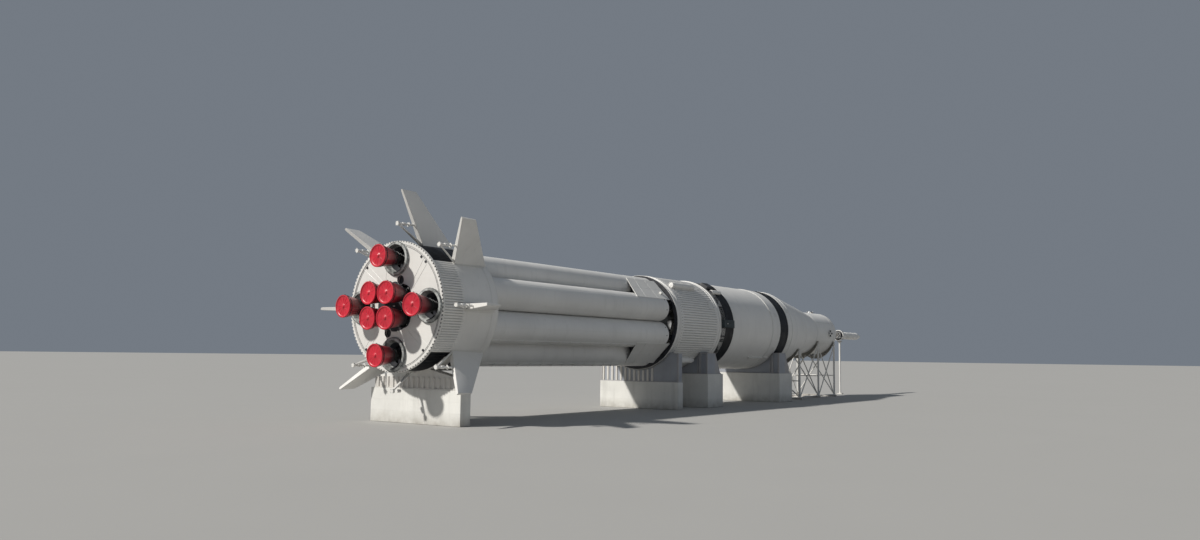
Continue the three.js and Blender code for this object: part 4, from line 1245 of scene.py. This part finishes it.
def payload():
    """Adapter cone, service module and crew module."""
    aft, front = reach("adapter_cone")
    aft, front = aft + 0.003, front - 0.003
    slope = (MODULE_R - HULL_R) / (front - aft)

    def outer(s):
        return HULL_R + slope * (s - aft)

    skin = [(aft, HULL_R - 0.05), (aft, HULL_R)]
    for s in (44.6, 47.9, 50.9):
        skin += [(s - 0.02, outer(s - 0.02)), (s - 0.008, outer(s) - 0.012), (s + 0.008, outer(s) - 0.012),
                 (s + 0.02, outer(s + 0.02))]
    skin += [(front, MODULE_R), (front, MODULE_R - 0.05)]
    shape = Shape()
    shape.turned(skin, HULL_STEPS, loop=True)
    for at in (40, 130, 220, 310):
        low, high = polar(aft + 0.1, outer(aft + 0.1), at), polar(front - 0.05, outer(front - 0.05), at)
        shape.bar(low, high, 0.022, 6)
    for s, count in ((aft + 0.08, 120), (44.52, 96), (44.68, 96), (47.82, 84), (47.98, 84),
                     (front - 0.07, 84)):
        shape.studs_round(s, outer(s), count, 0.012, 0.008)
    piece("adapter_skin", shape, "vehicle", ("white",), ["adapter_cone"])

    aft, front = reach("service_module")
    shape = Shape()
    body = [(aft + GAP, 0), (aft + GAP, MODULE_R - 0.01), (aft + 0.02, MODULE_R), (aft + 0.3, MODULE_R),
            (aft + 0.31, MODULE_R - 0.012), (aft + 0.34, MODULE_R - 0.012), (aft + 0.35, MODULE_R),
            (front - 0.62, MODULE_R), (front - 0.61, MODULE_R - 0.014), (front - 0.58, MODULE_R - 0.014),
            (front - 0.57, MODULE_R), (front - 0.03, MODULE_R), (front, MODULE_R - 0.02), (front, 0)]
    shape.turned(body, 120)
    for at in range(0, 360, 60):
        strip = seat(0, MODULE_R, at + 30)
        shape.box((aft + 0.36, front - 0.64), (-0.03, 0.03), (-0.01, 0.008), place=strip)
        for k in range(18):
            shape.stud(strip @ Matrix.Translation((aft + 0.5 + 0.19 * k, 0, 0.008)), 0.009, 0.006, sides=6)
    for at in (150, 330):
        for k in range(5):
            shape.box((52.6, 54.0), (-0.012, 0.012), (-0.01, 0.02), place=seat(0, MODULE_R, at - 6 + 3 * k))
    for at in (0, 90, 180, 270):
        quad = seat(54.74, MODULE_R, at)
        shape.box((-0.24, 0.24), (-0.2, 0.2), (-0.02, 0.06), place=quad)
        shape.box((-0.13, 0.13), (-0.12, 0.12), (0.05, 0.11), place=quad)
        for dx, dy in ((-1, 0), (1, 0), (0, -1), (0, 1)):
            a = Vector((dx * 0.10, dy * 0.10, 0.075))
            b = Vector((dx * 0.30, dy * 0.30, 0.1))
            shape.bar(a, b, 0.035, 14, 0.085, 1, quad)
            shape.bar(b - (b - a) * 0.05, b + (b - a) * 0.05, 0.09, 14, 0.09, 2, quad)
    shape.studs_round(front - 0.3, MODULE_R, 72, 0.010, 0.006)
    piece("service_module_skin", shape, "vehicle", ("white", "dark", "steel"), ["service_module"])

    aft, front = reach("crew_module")
    shape = Shape()
    cone = [(aft + 0.003, 0), (aft + 0.003, 1.9), (aft + 0.03, CREW_BASE_R), (aft + 0.15, CREW_BASE_R)]
    for t in (0.3, 0.62):
        s = aft + 0.15 + (front - 0.3 - aft - 0.15) * t
        r = CREW_BASE_R + (CREW_TOP_R - CREW_BASE_R) * t
        cone += [(s - 0.015, r + 0.007), (s - 0.006, r - 0.012), (s + 0.006, r - 0.012),
                 (s + 0.015, r - 0.007)]
    cone += [(front - 0.3, CREW_TOP_R), (front - 0.22, 0.56), (front - 0.01, 0.5), (front - 0.003, 0.46),
             (front - 0.003, 0)]
    shape.turned(cone, 96)
    lean = Matrix.Rotation(math.atan2(CREW_BASE_R - CREW_TOP_R, front - aft - 0.45), 4, "Y")
    for at, half, length in ((90, 0.34, 0.42), (50, 0.16, 0.13), (130, 0.16, 0.13), (0, 0.13, 0.12),
                             (180, 0.13, 0.12)):
        door = seat(57.3, 1.386, at) @ lean
        shape.box((-length, length), (-half, half), (-0.02, 0.016), place=door)
        paint = 0 if at == 90 else 1
        shape.box((-length * 0.7, length * 0.7), (-half * 0.7, half * 0.7), (0.01, 0.022), paint, door)
    shape.studs_round(aft + 0.09, CREW_BASE_R, 72, 0.01, 0.006)
    piece("crew_module_skin", shape, "vehicle", ("white", "dark"), ["crew_module"])


MOTOR_R = 0.36


def escape_system():
    """Lattice tower and slender motor at the nose."""
    low, high = reach("crew_module")[1], reach("escape_motor")[0]

    def corner(s, i):
        half = 0.33 - (s - low) / (high - low) * 0.08
        y, z = ((1, 1), (1, -1), (-1, -1), (-1, 1))[i % 4]
        return Vector((s, y * half, z * half))

    shape = Shape()
    levels = [low + 0.06, low + 0.98, low + 1.9, high - 0.07]
    for i in range(4):
        shape.bar(corner(low + 0.006, i), corner(high - 0.006, i), 0.042, 12)
        shape.bar(corner(low + 0.004, i), corner(low + 0.05, i), 0.075, 12)
        for k, s in enumerate(levels):
            shape.bar(corner(s, i), corner(s, i + 1), 0.026, 8)
            if k + 1 < len(levels):
                shape.bar(corner(s, i), corner(levels[k + 1], i + 1), 0.02, 8)
                shape.bar(corner(s, i + 1), corner(levels[k + 1], i), 0.02, 8)
    piece("tower_lattice", shape, "vehicle", ("trestle",), ["escape_tower"])

    tail, tip = reach("escape_motor")
    shape = Shape()
    profile = [(tail + 0.003, 0), (tail + 0.003, 0.52), (tail + 0.03, 0.55), (tail + 0.12, 0.55),
               (tail + 0.9, MOTOR_R)]
    for s in (tail + 1.7, tail + 3.4, tail + 4.6):
        profile += ridge_line(s, MOTOR_R, 0.03, 0.02, 0.012)
    profile += [(67.0, MOTOR_R), (67.02, 0.35), (67.4, 0.285), (67.75, 0.2), (67.9, 0.12), (68.0, 0.07),
                (tip, 0.05), (tip, 0)]
    shape.turned(profile, 48)
    for at in (45, 135, 225, 315):
        base = seat(tail + 0.62, 0.34, at)
        shape.bar((0.25, 0, -0.02), (-0.28, 0, 0.12), 0.06, 16, 0.085, 0, base)
        shape.bar((-0.26, 0, 0.115), (-0.3, 0, 0.125), 0.095, 16, 0.095, 1, base)
    shape.turned([(tail + 0.002, 0), (tail - 0.004, 0.2), (tail - 0.004, 0.46), (tail + 0.006, 0.5),
                  (tail + 0.006, 0)], 40, 1)
    for s in (tail + 1.05, 66.9):
        shape.studs_round(s, MOTOR_R, 32, 0.01, 0.007)
    piece("motor_case", shape, "vehicle", ("white", "dark", "steel"), ["escape_motor"])


# Cradles: plinth stations, half width and top; saddle height, radius, stations and side; reach each way of
# the hollow in degrees, 0 where it ends at the horn; foot of the gussets, 0 for none; width that is folded.
CRADLES = {
    "cradle_tail": {
        "stations": (2.79, 3.53), "half": 3.29, "top": -4.2, "horn": -3.6, "seat": 3.28, "saddle": (2.8, 3.5),
        "side": 3.0, "lift": 40, "foot": 0, "folds": (-3.0, 3.0), "finish": "trestle"},
    "cradle_middle": {
        "stations": (24.18, 24.79), "half": 3.26, "top": -4.14, "horn": -2.15, "seat": 3.325,
        "saddle": (24.2, 24.77),
        "side": 3.24, "lift": 0, "foot": 0, "folds": (-3.2, 1.3), "finish": "saddle"},
    "cradle_interstage": {
        "stations": (28.28, 30.57), "half": 3.3, "top": -3.6, "horn": -2.09, "seat": 3.325,
        "saddle": (28.3, 29.5),
        "side": 3.24, "lift": 0, "foot": 30.4, "folds": (), "finish": "saddle"},
    "cradle_forward": {
        "stations": (40.43, 42.93), "half": 3.3, "top": -3.66, "horn": -1.97, "seat": 3.32,
        "saddle": (40.5, 41.74),
        "side": 3.24, "lift": 0, "foot": 42.7, "folds": (), "finish": "saddle"},
}
GUSSET = 0.25
FOLD_PITCH = 0.37
SADDLE_FLANGE = 0.05
SADDLE_INSET = 0.07
BASE_BOLTS = 14
POSTS = ((2.42, 0.04), (2.62, 0.09), (3.17, 0.07))


def saddle_shape(c):
    """Steel saddle of one cradle: a web with folds or posts, flanges, bolts and end gussets."""
    saddle = Shape()
    a0, a1 = c["saddle"]
    top, horn, side, r = c["top"], c["horn"], c["side"], c["seat"]
    lift = c["lift"] or math.degrees(math.acos(-horn / r))
    turns = [270 + lift - 2 * lift * k / 40 for k in range(41)]
    hollow = arc(r, turns)
    flange = arc(r + SADDLE_FLANGE, turns)
    web = (a0 + SADDLE_INSET, a1 - SADDLE_INSET)
    web_edge = arc(r + 0.02, turns)
    saddle.plate([[(-side, top), (-side, horn), *web_edge[::-1], (side, horn), (side, top)]], *web)
    saddle.plate([hollow + flange[::-1]], a0, a1)
    if c["folds"]:
        first, last = c["folds"]
        count = round((last - first) / FOLD_PITCH)
        for k in range(count):
            y = -(first + (last - first) * (k + 0.5) / count)
            limit = horn
            if abs(y) < math.sin(math.radians(lift)) * r:
                limit = min(horn, -math.sqrt(r ** 2 - y * y) - SADDLE_FLANGE)
            if limit - top > 0.12:
                for low, high, thin, wide in ((a0 + 0.01, a0 + 0.072, 0.07, 0.1),
                                              (a1 - 0.072, a1 - 0.01, 0.1, 0.07)):
                    fold = [(low, y - thin), (low, y + thin), (high, y + wide), (high, y - wide)]
                    saddle.loft([[(s, w, z) for s, w in fold] for z in (top + 0.02, limit)], 2)
    else:
        for sign in (-1, 1):
            for y, half in POSTS:
                limit = horn if y > 2.59 else -math.sqrt(r ** 2 - y * y) - SADDLE_FLANGE
                for s in ((a0, a0 + 0.072), (a1 - 0.072, a1)):
                    saddle.box(s, sorted((sign * (y - half), sign * (y + half))), (top + 0.02, limit))
    for sign in (-1, 1):
        cap_width = sorted((sign * (side - 0.45), sign * (side + 0.003)))
        saddle.box((a0 - 0.005, a1 + 0.005), cap_width, (horn - 0.05, horn + 0.006))
        saddle.box((a0 - 0.004, a0 + 0.075), sorted((sign * (side - 0.12), sign * (side + 0.002))),
                   (top, horn - 0.02))
    saddle.box((a0 - 0.005, a1 + 0.005), (-side - 0.004, side + 0.004), (top + 0.001, top + 0.05))
    for k in range(BASE_BOLTS):
        y = -side + 0.12 + (2 * side - 0.24) * k / (BASE_BOLTS - 1)
        for s in (a0 + 0.02, a1 - 0.02):
            saddle.stud(Matrix.Translation((s, y, top + 0.05)), 0.025, 0.03, 1)
    if c["foot"]:
        start, end = a1 - 0.01, c["foot"] - 0.2
        wedge = [(start, horn - 0.02), (start, top + 0.02), (c["foot"], top + 0.02), (end, top + 0.12)]
        cap = [(start, horn - 0.02), (end, top + 0.12), (end, top + 0.07), (start, horn - 0.08)]
        for sign in (-1, 1):
            for y in (side - GUSSET, side - 0.054):
                saddle.loft([[(s, sign * w, z) for s, z in wedge] for w in (y, y + 0.05)])
            saddle.loft([[(s, sign * w, z) for s, z in cap] for w in (side - GUSSET, side)])
            saddle.box((a1 - 0.02, c["foot"]), sorted((sign * (side - GUSSET), sign * side)),
                       (top, top + 0.04))
    return saddle


def cradles():
    """White plinths with steel saddles that follow the hull."""
    for name, c in CRADLES.items():
        plinth = Shape()
        plinth.box(c["stations"], (-c["half"], c["half"]), (-AXIS_HEIGHT, c["top"]))
        piece(name + "_plinth", plinth, "vehicle", ("concrete",), [name], bevel=0.012)
        finishes = (c["finish"], "steel", "trestle")
        piece(name + "_saddle", saddle_shape(c), "vehicle", finishes)


# Trestles: station, radius of the crescent, its reach each way in degrees, and half the width between legs.
TRESTLES = (
    {"s": 46.4, "r": 2.82, "lift": 56.25, "y": 2.48},
    {"s": 52.1, "r": 1.975, "lift": 67.5, "y": 1.87},
    {"s": 56.0, "r": 1.975, "lift": 67.5, "y": 1.87},
)
SADDLE_WEB = 0.34
LEG_R = 0.09


def leg_top(t):
    """Height at which a leg meets its trestle's saddle."""
    return -math.sqrt((t["r"] + 0.03) ** 2 - (t["y"] - LEG_R) ** 2)


def trestle(shape, t):
    """A crescent saddle on two legs with crossed braces."""
    s, r, lift, y = t["s"], t["r"], t["lift"], t["y"]
    foot = -AXIS_HEIGHT
    span = (270 - lift, 270 + lift)
    strip = [(s - 0.2, r + 0.006), (s - 0.2, r + 0.05), (s - 0.19, r + 0.06), (s + 0.19, r + 0.06),
             (s + 0.2, r + 0.05), (s + 0.2, r + 0.006)]
    shape.turned(strip, 48, 2, span=span, loop=True)
    tip = (r + 0.06) * math.sin(math.radians(lift))
    turns = [270 - lift + 2 * lift * k / 32 for k in range(33)]
    over = arc(r + 0.05, turns)
    under = [(w, h - SADDLE_WEB * (1 - (w / tip) ** 2) - 0.01) for w, h in over]
    shape.plate([over + under[::-1]], s - 0.03, s + 0.03, 2)
    lower = [(w, h - 0.03) for w, h in under]
    shape.plate([under + lower[::-1]], s - 0.1, s + 0.1, 2)
    for k in range(3, 30, 3):
        (w, z0), (_, z1) = over[k], under[k]
        shape.box((s - 0.09, s + 0.09), (w - 0.015, w + 0.015), (z1, z0), 2)
    for low, high, half in ((foot, foot + 0.05, 0.12), (foot + 0.05, foot + 0.13, 0.03),
                            (foot + 0.13, foot + 0.155, 0.10)):
        shape.box((s - half, s + half), (-y - 0.25, y + 0.25), (low, high))
    middle = foot + 0.2 + (-r - foot) * 0.45
    shape.bar((s, -y, middle), (s, y, middle), 0.045, 10)
    for side in (-1, 1):
        shape.bar((s, side * y, foot + 0.1), (s, side * y, leg_top(t)), LEG_R, 20)
        shape.bar((s, side * y, foot + 0.16), (s, side * y, foot + 0.2), 0.15, 20)
        shape.bar((s, side * y, foot + 0.2), (s, -side * y * 0.35, -r - 0.1), 0.055, 12)
        shape.box((s - 0.1, s + 0.1), sorted((side * (y - 0.12), side * (y + 0.1))),
                  (leg_top(t) - 0.08, leg_top(t) - 0.04))
        for dy in (-0.16, 0.16):
            for ds in (-0.08, 0.08):
                shape.stud(Matrix.Translation((s + ds, side * y + dy, foot + 0.05)), 0.022, 0.03, 1)


def trestles():
    """Steel trestles under the cone and modules, and the post under the nose."""
    shape = Shape()
    foot = -AXIS_HEIGHT
    for t in TRESTLES:
        trestle(shape, t)
    for a, b in zip(TRESTLES, TRESTLES[1:]):
        for side in (-1, 1):
            for one, two in ((a, b), (b, a)):
                low = Vector((one["s"], side * one["y"], foot + 0.1))
                high = Vector((two["s"], side * two["y"], leg_top(two) - 0.25))
                shape.bar(low, high, 0.05, 12)
                for end in (low.lerp(high, 0.03), low.lerp(high, 0.97)):
                    shape.box((end.x - 0.1, end.x + 0.1), (end.y - 0.02, end.y + 0.02),
                              (end.z - 0.1, end.z + 0.1))
            shape.bar((a["s"], side * a["y"], foot + 0.2), (b["s"], side * b["y"], foot + 0.2), 0.045, 12)
    finishes = ("trestle", "steel", "cradling")
    piece("trestle_frames", shape, "vehicle", finishes, ["forward_trestle"])

    s = sum(reach("nose_post")) / 2
    shape = Shape()
    shape.bar((s, 0, foot + 0.04), (s, 0, -0.66), 0.09, 28)
    shape.bar((s, 0, foot + 0.09), (s, 0, foot + 0.16), 0.13, 24, 0.095)
    shape.bar((s, 0, -0.82), (s, 0, -0.68), 0.092, 24, 0.12)
    shape.box((s - 0.25, s + 0.25), (-0.25, 0.25), (foot, foot + 0.09))
    shape.box((s - 0.12, s + 0.12), (-0.2, 0.2), (-0.68, -0.61))
    shape.turned([(s - 0.1, 0.575), (s - 0.1, 0.62), (s + 0.1, 0.62), (s + 0.1, 0.575)], 16, span=(250, 290),
                 loop=True)
    for dy in (-0.18, 0.18):
        for ds in (-0.18, 0.18):
            shape.stud(Matrix.Translation((s + ds, dy, foot + 0.09)), 0.028, 0.04, 1)
    piece("nose_post_column", shape, "vehicle", ("trestle", "steel"), ["nose_post"])


# The photograph's viewpoint, in metres of the model and degrees.
CAMERA_PLACE = (-33.2216, -18.2355, 1.8175)
CAMERA_YAW = 35.220
CAMERA_PITCH = 5.140
CAMERA_ROLL = 0.704
CAMERA_LENS = 28.53
SUN_TRAVEL = (1.31, -0.74, -1.2)


def stage():
    """Pale floor, soft light and the camera."""
    settings = bpy.context.scene.rocket_stage
    reach_out = settings.floor_half
    mesh = bpy.data.meshes.new("studio_floor")
    cells = 8
    corners = [(-reach_out + 2 * reach_out * i / cells, -reach_out + 2 * reach_out * j / cells, -0.002)
               for i in range(cells + 1) for j in range(cells + 1)]
    faces = [(i * (cells + 1) + j, (i + 1) * (cells + 1) + j, (i + 1) * (cells + 1) + j + 1,
              i * (cells + 1) + j + 1)
             for i in range(cells) for j in range(cells)]
    mesh.from_pydata(corners, [], faces)
    mesh.materials.append(paints["floor"])
    floor = bpy.data.objects.new("studio_floor", mesh)
    bpy.context.scene.collection.objects.link(floor)

    key_light = bpy.data.lights.new("key", "SUN")
    key_light.energy = settings.key_strength
    key_light.angle = settings.key_softness
    key_light.color = (1.0, 0.965, 0.91)
    key = bpy.data.objects.new("key", key_light)
    key.rotation_mode = "QUATERNION"
    key.rotation_quaternion = Vector(SUN_TRAVEL).to_track_quat("-Z", "Y")
    bpy.context.scene.collection.objects.link(key)

    bpy.context.scene.view_settings.view_transform = "Standard"
    world = bpy.data.worlds.new("studio air")
    world.use_nodes = True
    world.node_tree.nodes["Background"].inputs["Color"].default_value = rgba(settings.air)
    world.node_tree.nodes["Background"].inputs["Strength"].default_value = settings.air_strength
    bpy.context.scene.world = world

    lens = bpy.data.cameras.new("camera")
    lens.lens = CAMERA_LENS
    lens.sensor_width = 36
    lens.clip_start, lens.clip_end = 0.1, 2000
    camera = bpy.data.objects.new("camera", lens)
    yaw, pitch, roll = (math.radians(a) for a in (CAMERA_YAW, CAMERA_PITCH, CAMERA_ROLL))
    ahead = Vector((math.cos(pitch) * math.cos(yaw), math.cos(pitch) * math.sin(yaw), math.sin(pitch)))
    level = ahead.cross(Vector((0, 0, 1))).normalized()
    above = level.cross(ahead)
    right = math.cos(roll) * level + math.sin(roll) * above
    up = -math.sin(roll) * level + math.cos(roll) * above
    axes = Matrix((right, up, -ahead)).transposed().to_4x4()
    camera.matrix_world = Matrix.Translation(CAMERA_PLACE) @ axes
    bpy.context.scene.collection.objects.link(camera)
    bpy.context.scene.camera = camera


class RocketSizes(bpy.types.PropertyGroup):
    shroud_ribs: bpy.props.IntProperty(
        name="Shroud ribs", description="Lengthwise ribs round the tail shroud", default=148, min=16)
    shroud_rib_depth: bpy.props.FloatProperty(
        name="Shroud rib depth", description="Depth between ribs, full size", default=0.045, unit="LENGTH")
    interstage_ribs: bpy.props.IntProperty(
        name="Interstage ribs", description="Lengthwise ribs round the interstage", default=112, min=16)
    interstage_rib_depth: bpy.props.FloatProperty(
        name="Interstage rib depth", description="Depth between ribs, full size", default=0.045,
        unit="LENGTH")


def colour_property(name, description, default):
    """A colour field of a property group."""
    return bpy.props.FloatVectorProperty(
        name=name, description=description, default=default, subtype="COLOR", size=3, min=0, max=1)


class RocketColours(bpy.types.PropertyGroup):
    white: colour_property("White", "Hull paint", (0.80, 0.79, 0.765))
    black: colour_property("Black", "Bands and shroud quadrants", (0.0035, 0.0042, 0.006))
    red: colour_property("Red", "Engine covers", (0.46, 0.008, 0.024))
    boot: colour_property("Boot", "Cloth boots round the engines", (0.30, 0.31, 0.30))
    steel: colour_property("Steel", "Frames and fittings", (0.36, 0.37, 0.38))
    concrete: colour_property("Concrete", "Plinths", (0.74, 0.735, 0.70))
    # The saddle colour is darkened with painted shade.
    saddle: colour_property("Saddle", "Steel saddles on the plinths", (0.34, 0.36, 0.40))
    trestle: colour_property("Trestle", "Painted steel supports", (0.76, 0.755, 0.73))
    floor: colour_property("Floor", "Studio floor", (0.40, 0.395, 0.38))


class RocketStage(bpy.types.PropertyGroup):
    key_strength: bpy.props.FloatProperty(name="Key", description="Strength of the main light", default=4.0)
    key_softness: bpy.props.FloatProperty(
        name="Softness", description="Width of the main light", default=math.radians(2.5), subtype="ANGLE")
    air: colour_property("Air", "Colour of the surroundings", (0.56, 0.635, 0.74))
    air_strength: bpy.props.FloatProperty(
        name="Fill", description="Strength of the surroundings", default=0.31)
    floor_half: bpy.props.FloatProperty(
        name="Floor", description="Half the floor's width", default=600.0, unit="LENGTH")


class ROCKET_OT_paints(bpy.types.Operator):
    """Mix the paints, cloths and metals"""
    bl_idname = "rocket.paints"
    bl_label = "Paints"

    def execute(self, context):
        mix_paints(context.scene.rocket_colours)
        return {"FINISHED"}


class ROCKET_OT_heat_shield(bpy.types.Operator):
    """Make the heat shield and the cloth boots"""
    bl_idname = "rocket.heat_shield"
    bl_label = "Heat shield"

    def execute(self, context):
        heat_shield()
        boots()
        return {"FINISHED"}


class ROCKET_OT_shroud(bpy.types.Operator):
    """Make the ribbed tail shroud"""
    bl_idname = "rocket.shroud"
    bl_label = "Tail shroud"

    def execute(self, context):
        shroud()
        return {"FINISHED"}


class ROCKET_OT_fins(bpy.types.Operator):
    """Make the fins and their brackets"""
    bl_idname = "rocket.fins"
    bl_label = "Fins"

    def execute(self, context):
        fins()
        return {"FINISHED"}


class ROCKET_OT_engines(bpy.types.Operator):
    """Make the covered engines and finish the frame that carries them"""
    bl_idname = "rocket.engines"
    bl_label = "Engines"

    def execute(self, context):
        engines()
        frame_metal()
        return {"FINISHED"}


class ROCKET_OT_tanks(bpy.types.Operator):
    """Make the nine tanks"""
    bl_idname = "rocket.tanks"
    bl_label = "Tanks"

    def execute(self, context):
        tanks()
        return {"FINISHED"}


class ROCKET_OT_beam(bpy.types.Operator):
    """Make the beam ahead of the tanks and the panels over them"""
    bl_idname = "rocket.beam"
    bl_label = "Beam and panels"

    def execute(self, context):
        beam()
        tank_panels()
        return {"FINISHED"}


class ROCKET_OT_interstage(bpy.types.Operator):
    """Make the ribbed interstage"""
    bl_idname = "rocket.interstage"
    bl_label = "Interstage"

    def execute(self, context):
        interstage()
        return {"FINISHED"}


class ROCKET_OT_upper_stage(bpy.types.Operator):
    """Make the skirts, bands and tank of the upper stage"""
    bl_idname = "rocket.upper_stage"
    bl_label = "Upper stage"

    def execute(self, context):
        upper_stage()
        return {"FINISHED"}


class ROCKET_OT_payload(bpy.types.Operator):
    """Make the adapter cone, the modules, the tower and its motor"""
    bl_idname = "rocket.payload"
    bl_label = "Payload"

    def execute(self, context):
        payload()
        escape_system()
        return {"FINISHED"}


class ROCKET_OT_cradles(bpy.types.Operator):
    """Make the cradles, the trestles and the post"""
    bl_idname = "rocket.cradles"
    bl_label = "Cradles"

    def execute(self, context):
        cradles()
        trestles()
        return {"FINISHED"}


class ROCKET_OT_stage(bpy.types.Operator):
    """Make the floor, the light and the camera"""
    bl_idname = "rocket.stage"
    bl_label = "Stage"

    def execute(self, context):
        stage()
        return {"FINISHED"}


OPERATORS = (
    ROCKET_OT_paints,
    ROCKET_OT_heat_shield,
    ROCKET_OT_shroud,
    ROCKET_OT_fins,
    ROCKET_OT_engines,
    ROCKET_OT_tanks,
    ROCKET_OT_beam,
    ROCKET_OT_interstage,
    ROCKET_OT_upper_stage,
    ROCKET_OT_payload,
    ROCKET_OT_cradles,
    ROCKET_OT_stage,
)


class ROCKET_PT_panel(bpy.types.Panel):
    """Sizes, colours and makers of the rocket"""
    bl_idname = "ROCKET_PT_panel"
    bl_label = "Rocket"
    bl_space_type = "VIEW_3D"
    bl_region_type = "UI"
    bl_category = "Rocket"

    def draw(self, context):
        layout = self.layout
        for group in (context.scene.rocket_sizes, context.scene.rocket_colours, context.scene.rocket_stage):
            for key in group.__annotations__:
                layout.prop(group, key)
        for maker in OPERATORS:
            layout.operator(maker.bl_idname)


CLASSES = (RocketSizes, RocketColours, RocketStage, *OPERATORS, ROCKET_PT_panel)


def register():
    for one in CLASSES:
        bpy.utils.register_class(one)
    bpy.types.Scene.rocket_sizes = bpy.props.PointerProperty(type=RocketSizes)
    bpy.types.Scene.rocket_colours = bpy.props.PointerProperty(type=RocketColours)
    bpy.types.Scene.rocket_stage = bpy.props.PointerProperty(type=RocketStage)


def unregister():
    del bpy.types.Scene.rocket_stage
    del bpy.types.Scene.rocket_colours
    del bpy.types.Scene.rocket_sizes
    for one in reversed(CLASSES):
        bpy.utils.unregister_class(one)


def main():
    register()
    for maker in OPERATORS:
        group, name = maker.bl_idname.split(".")
        getattr(getattr(bpy.ops, group), name)()


if __name__ == "__main__":
    main()
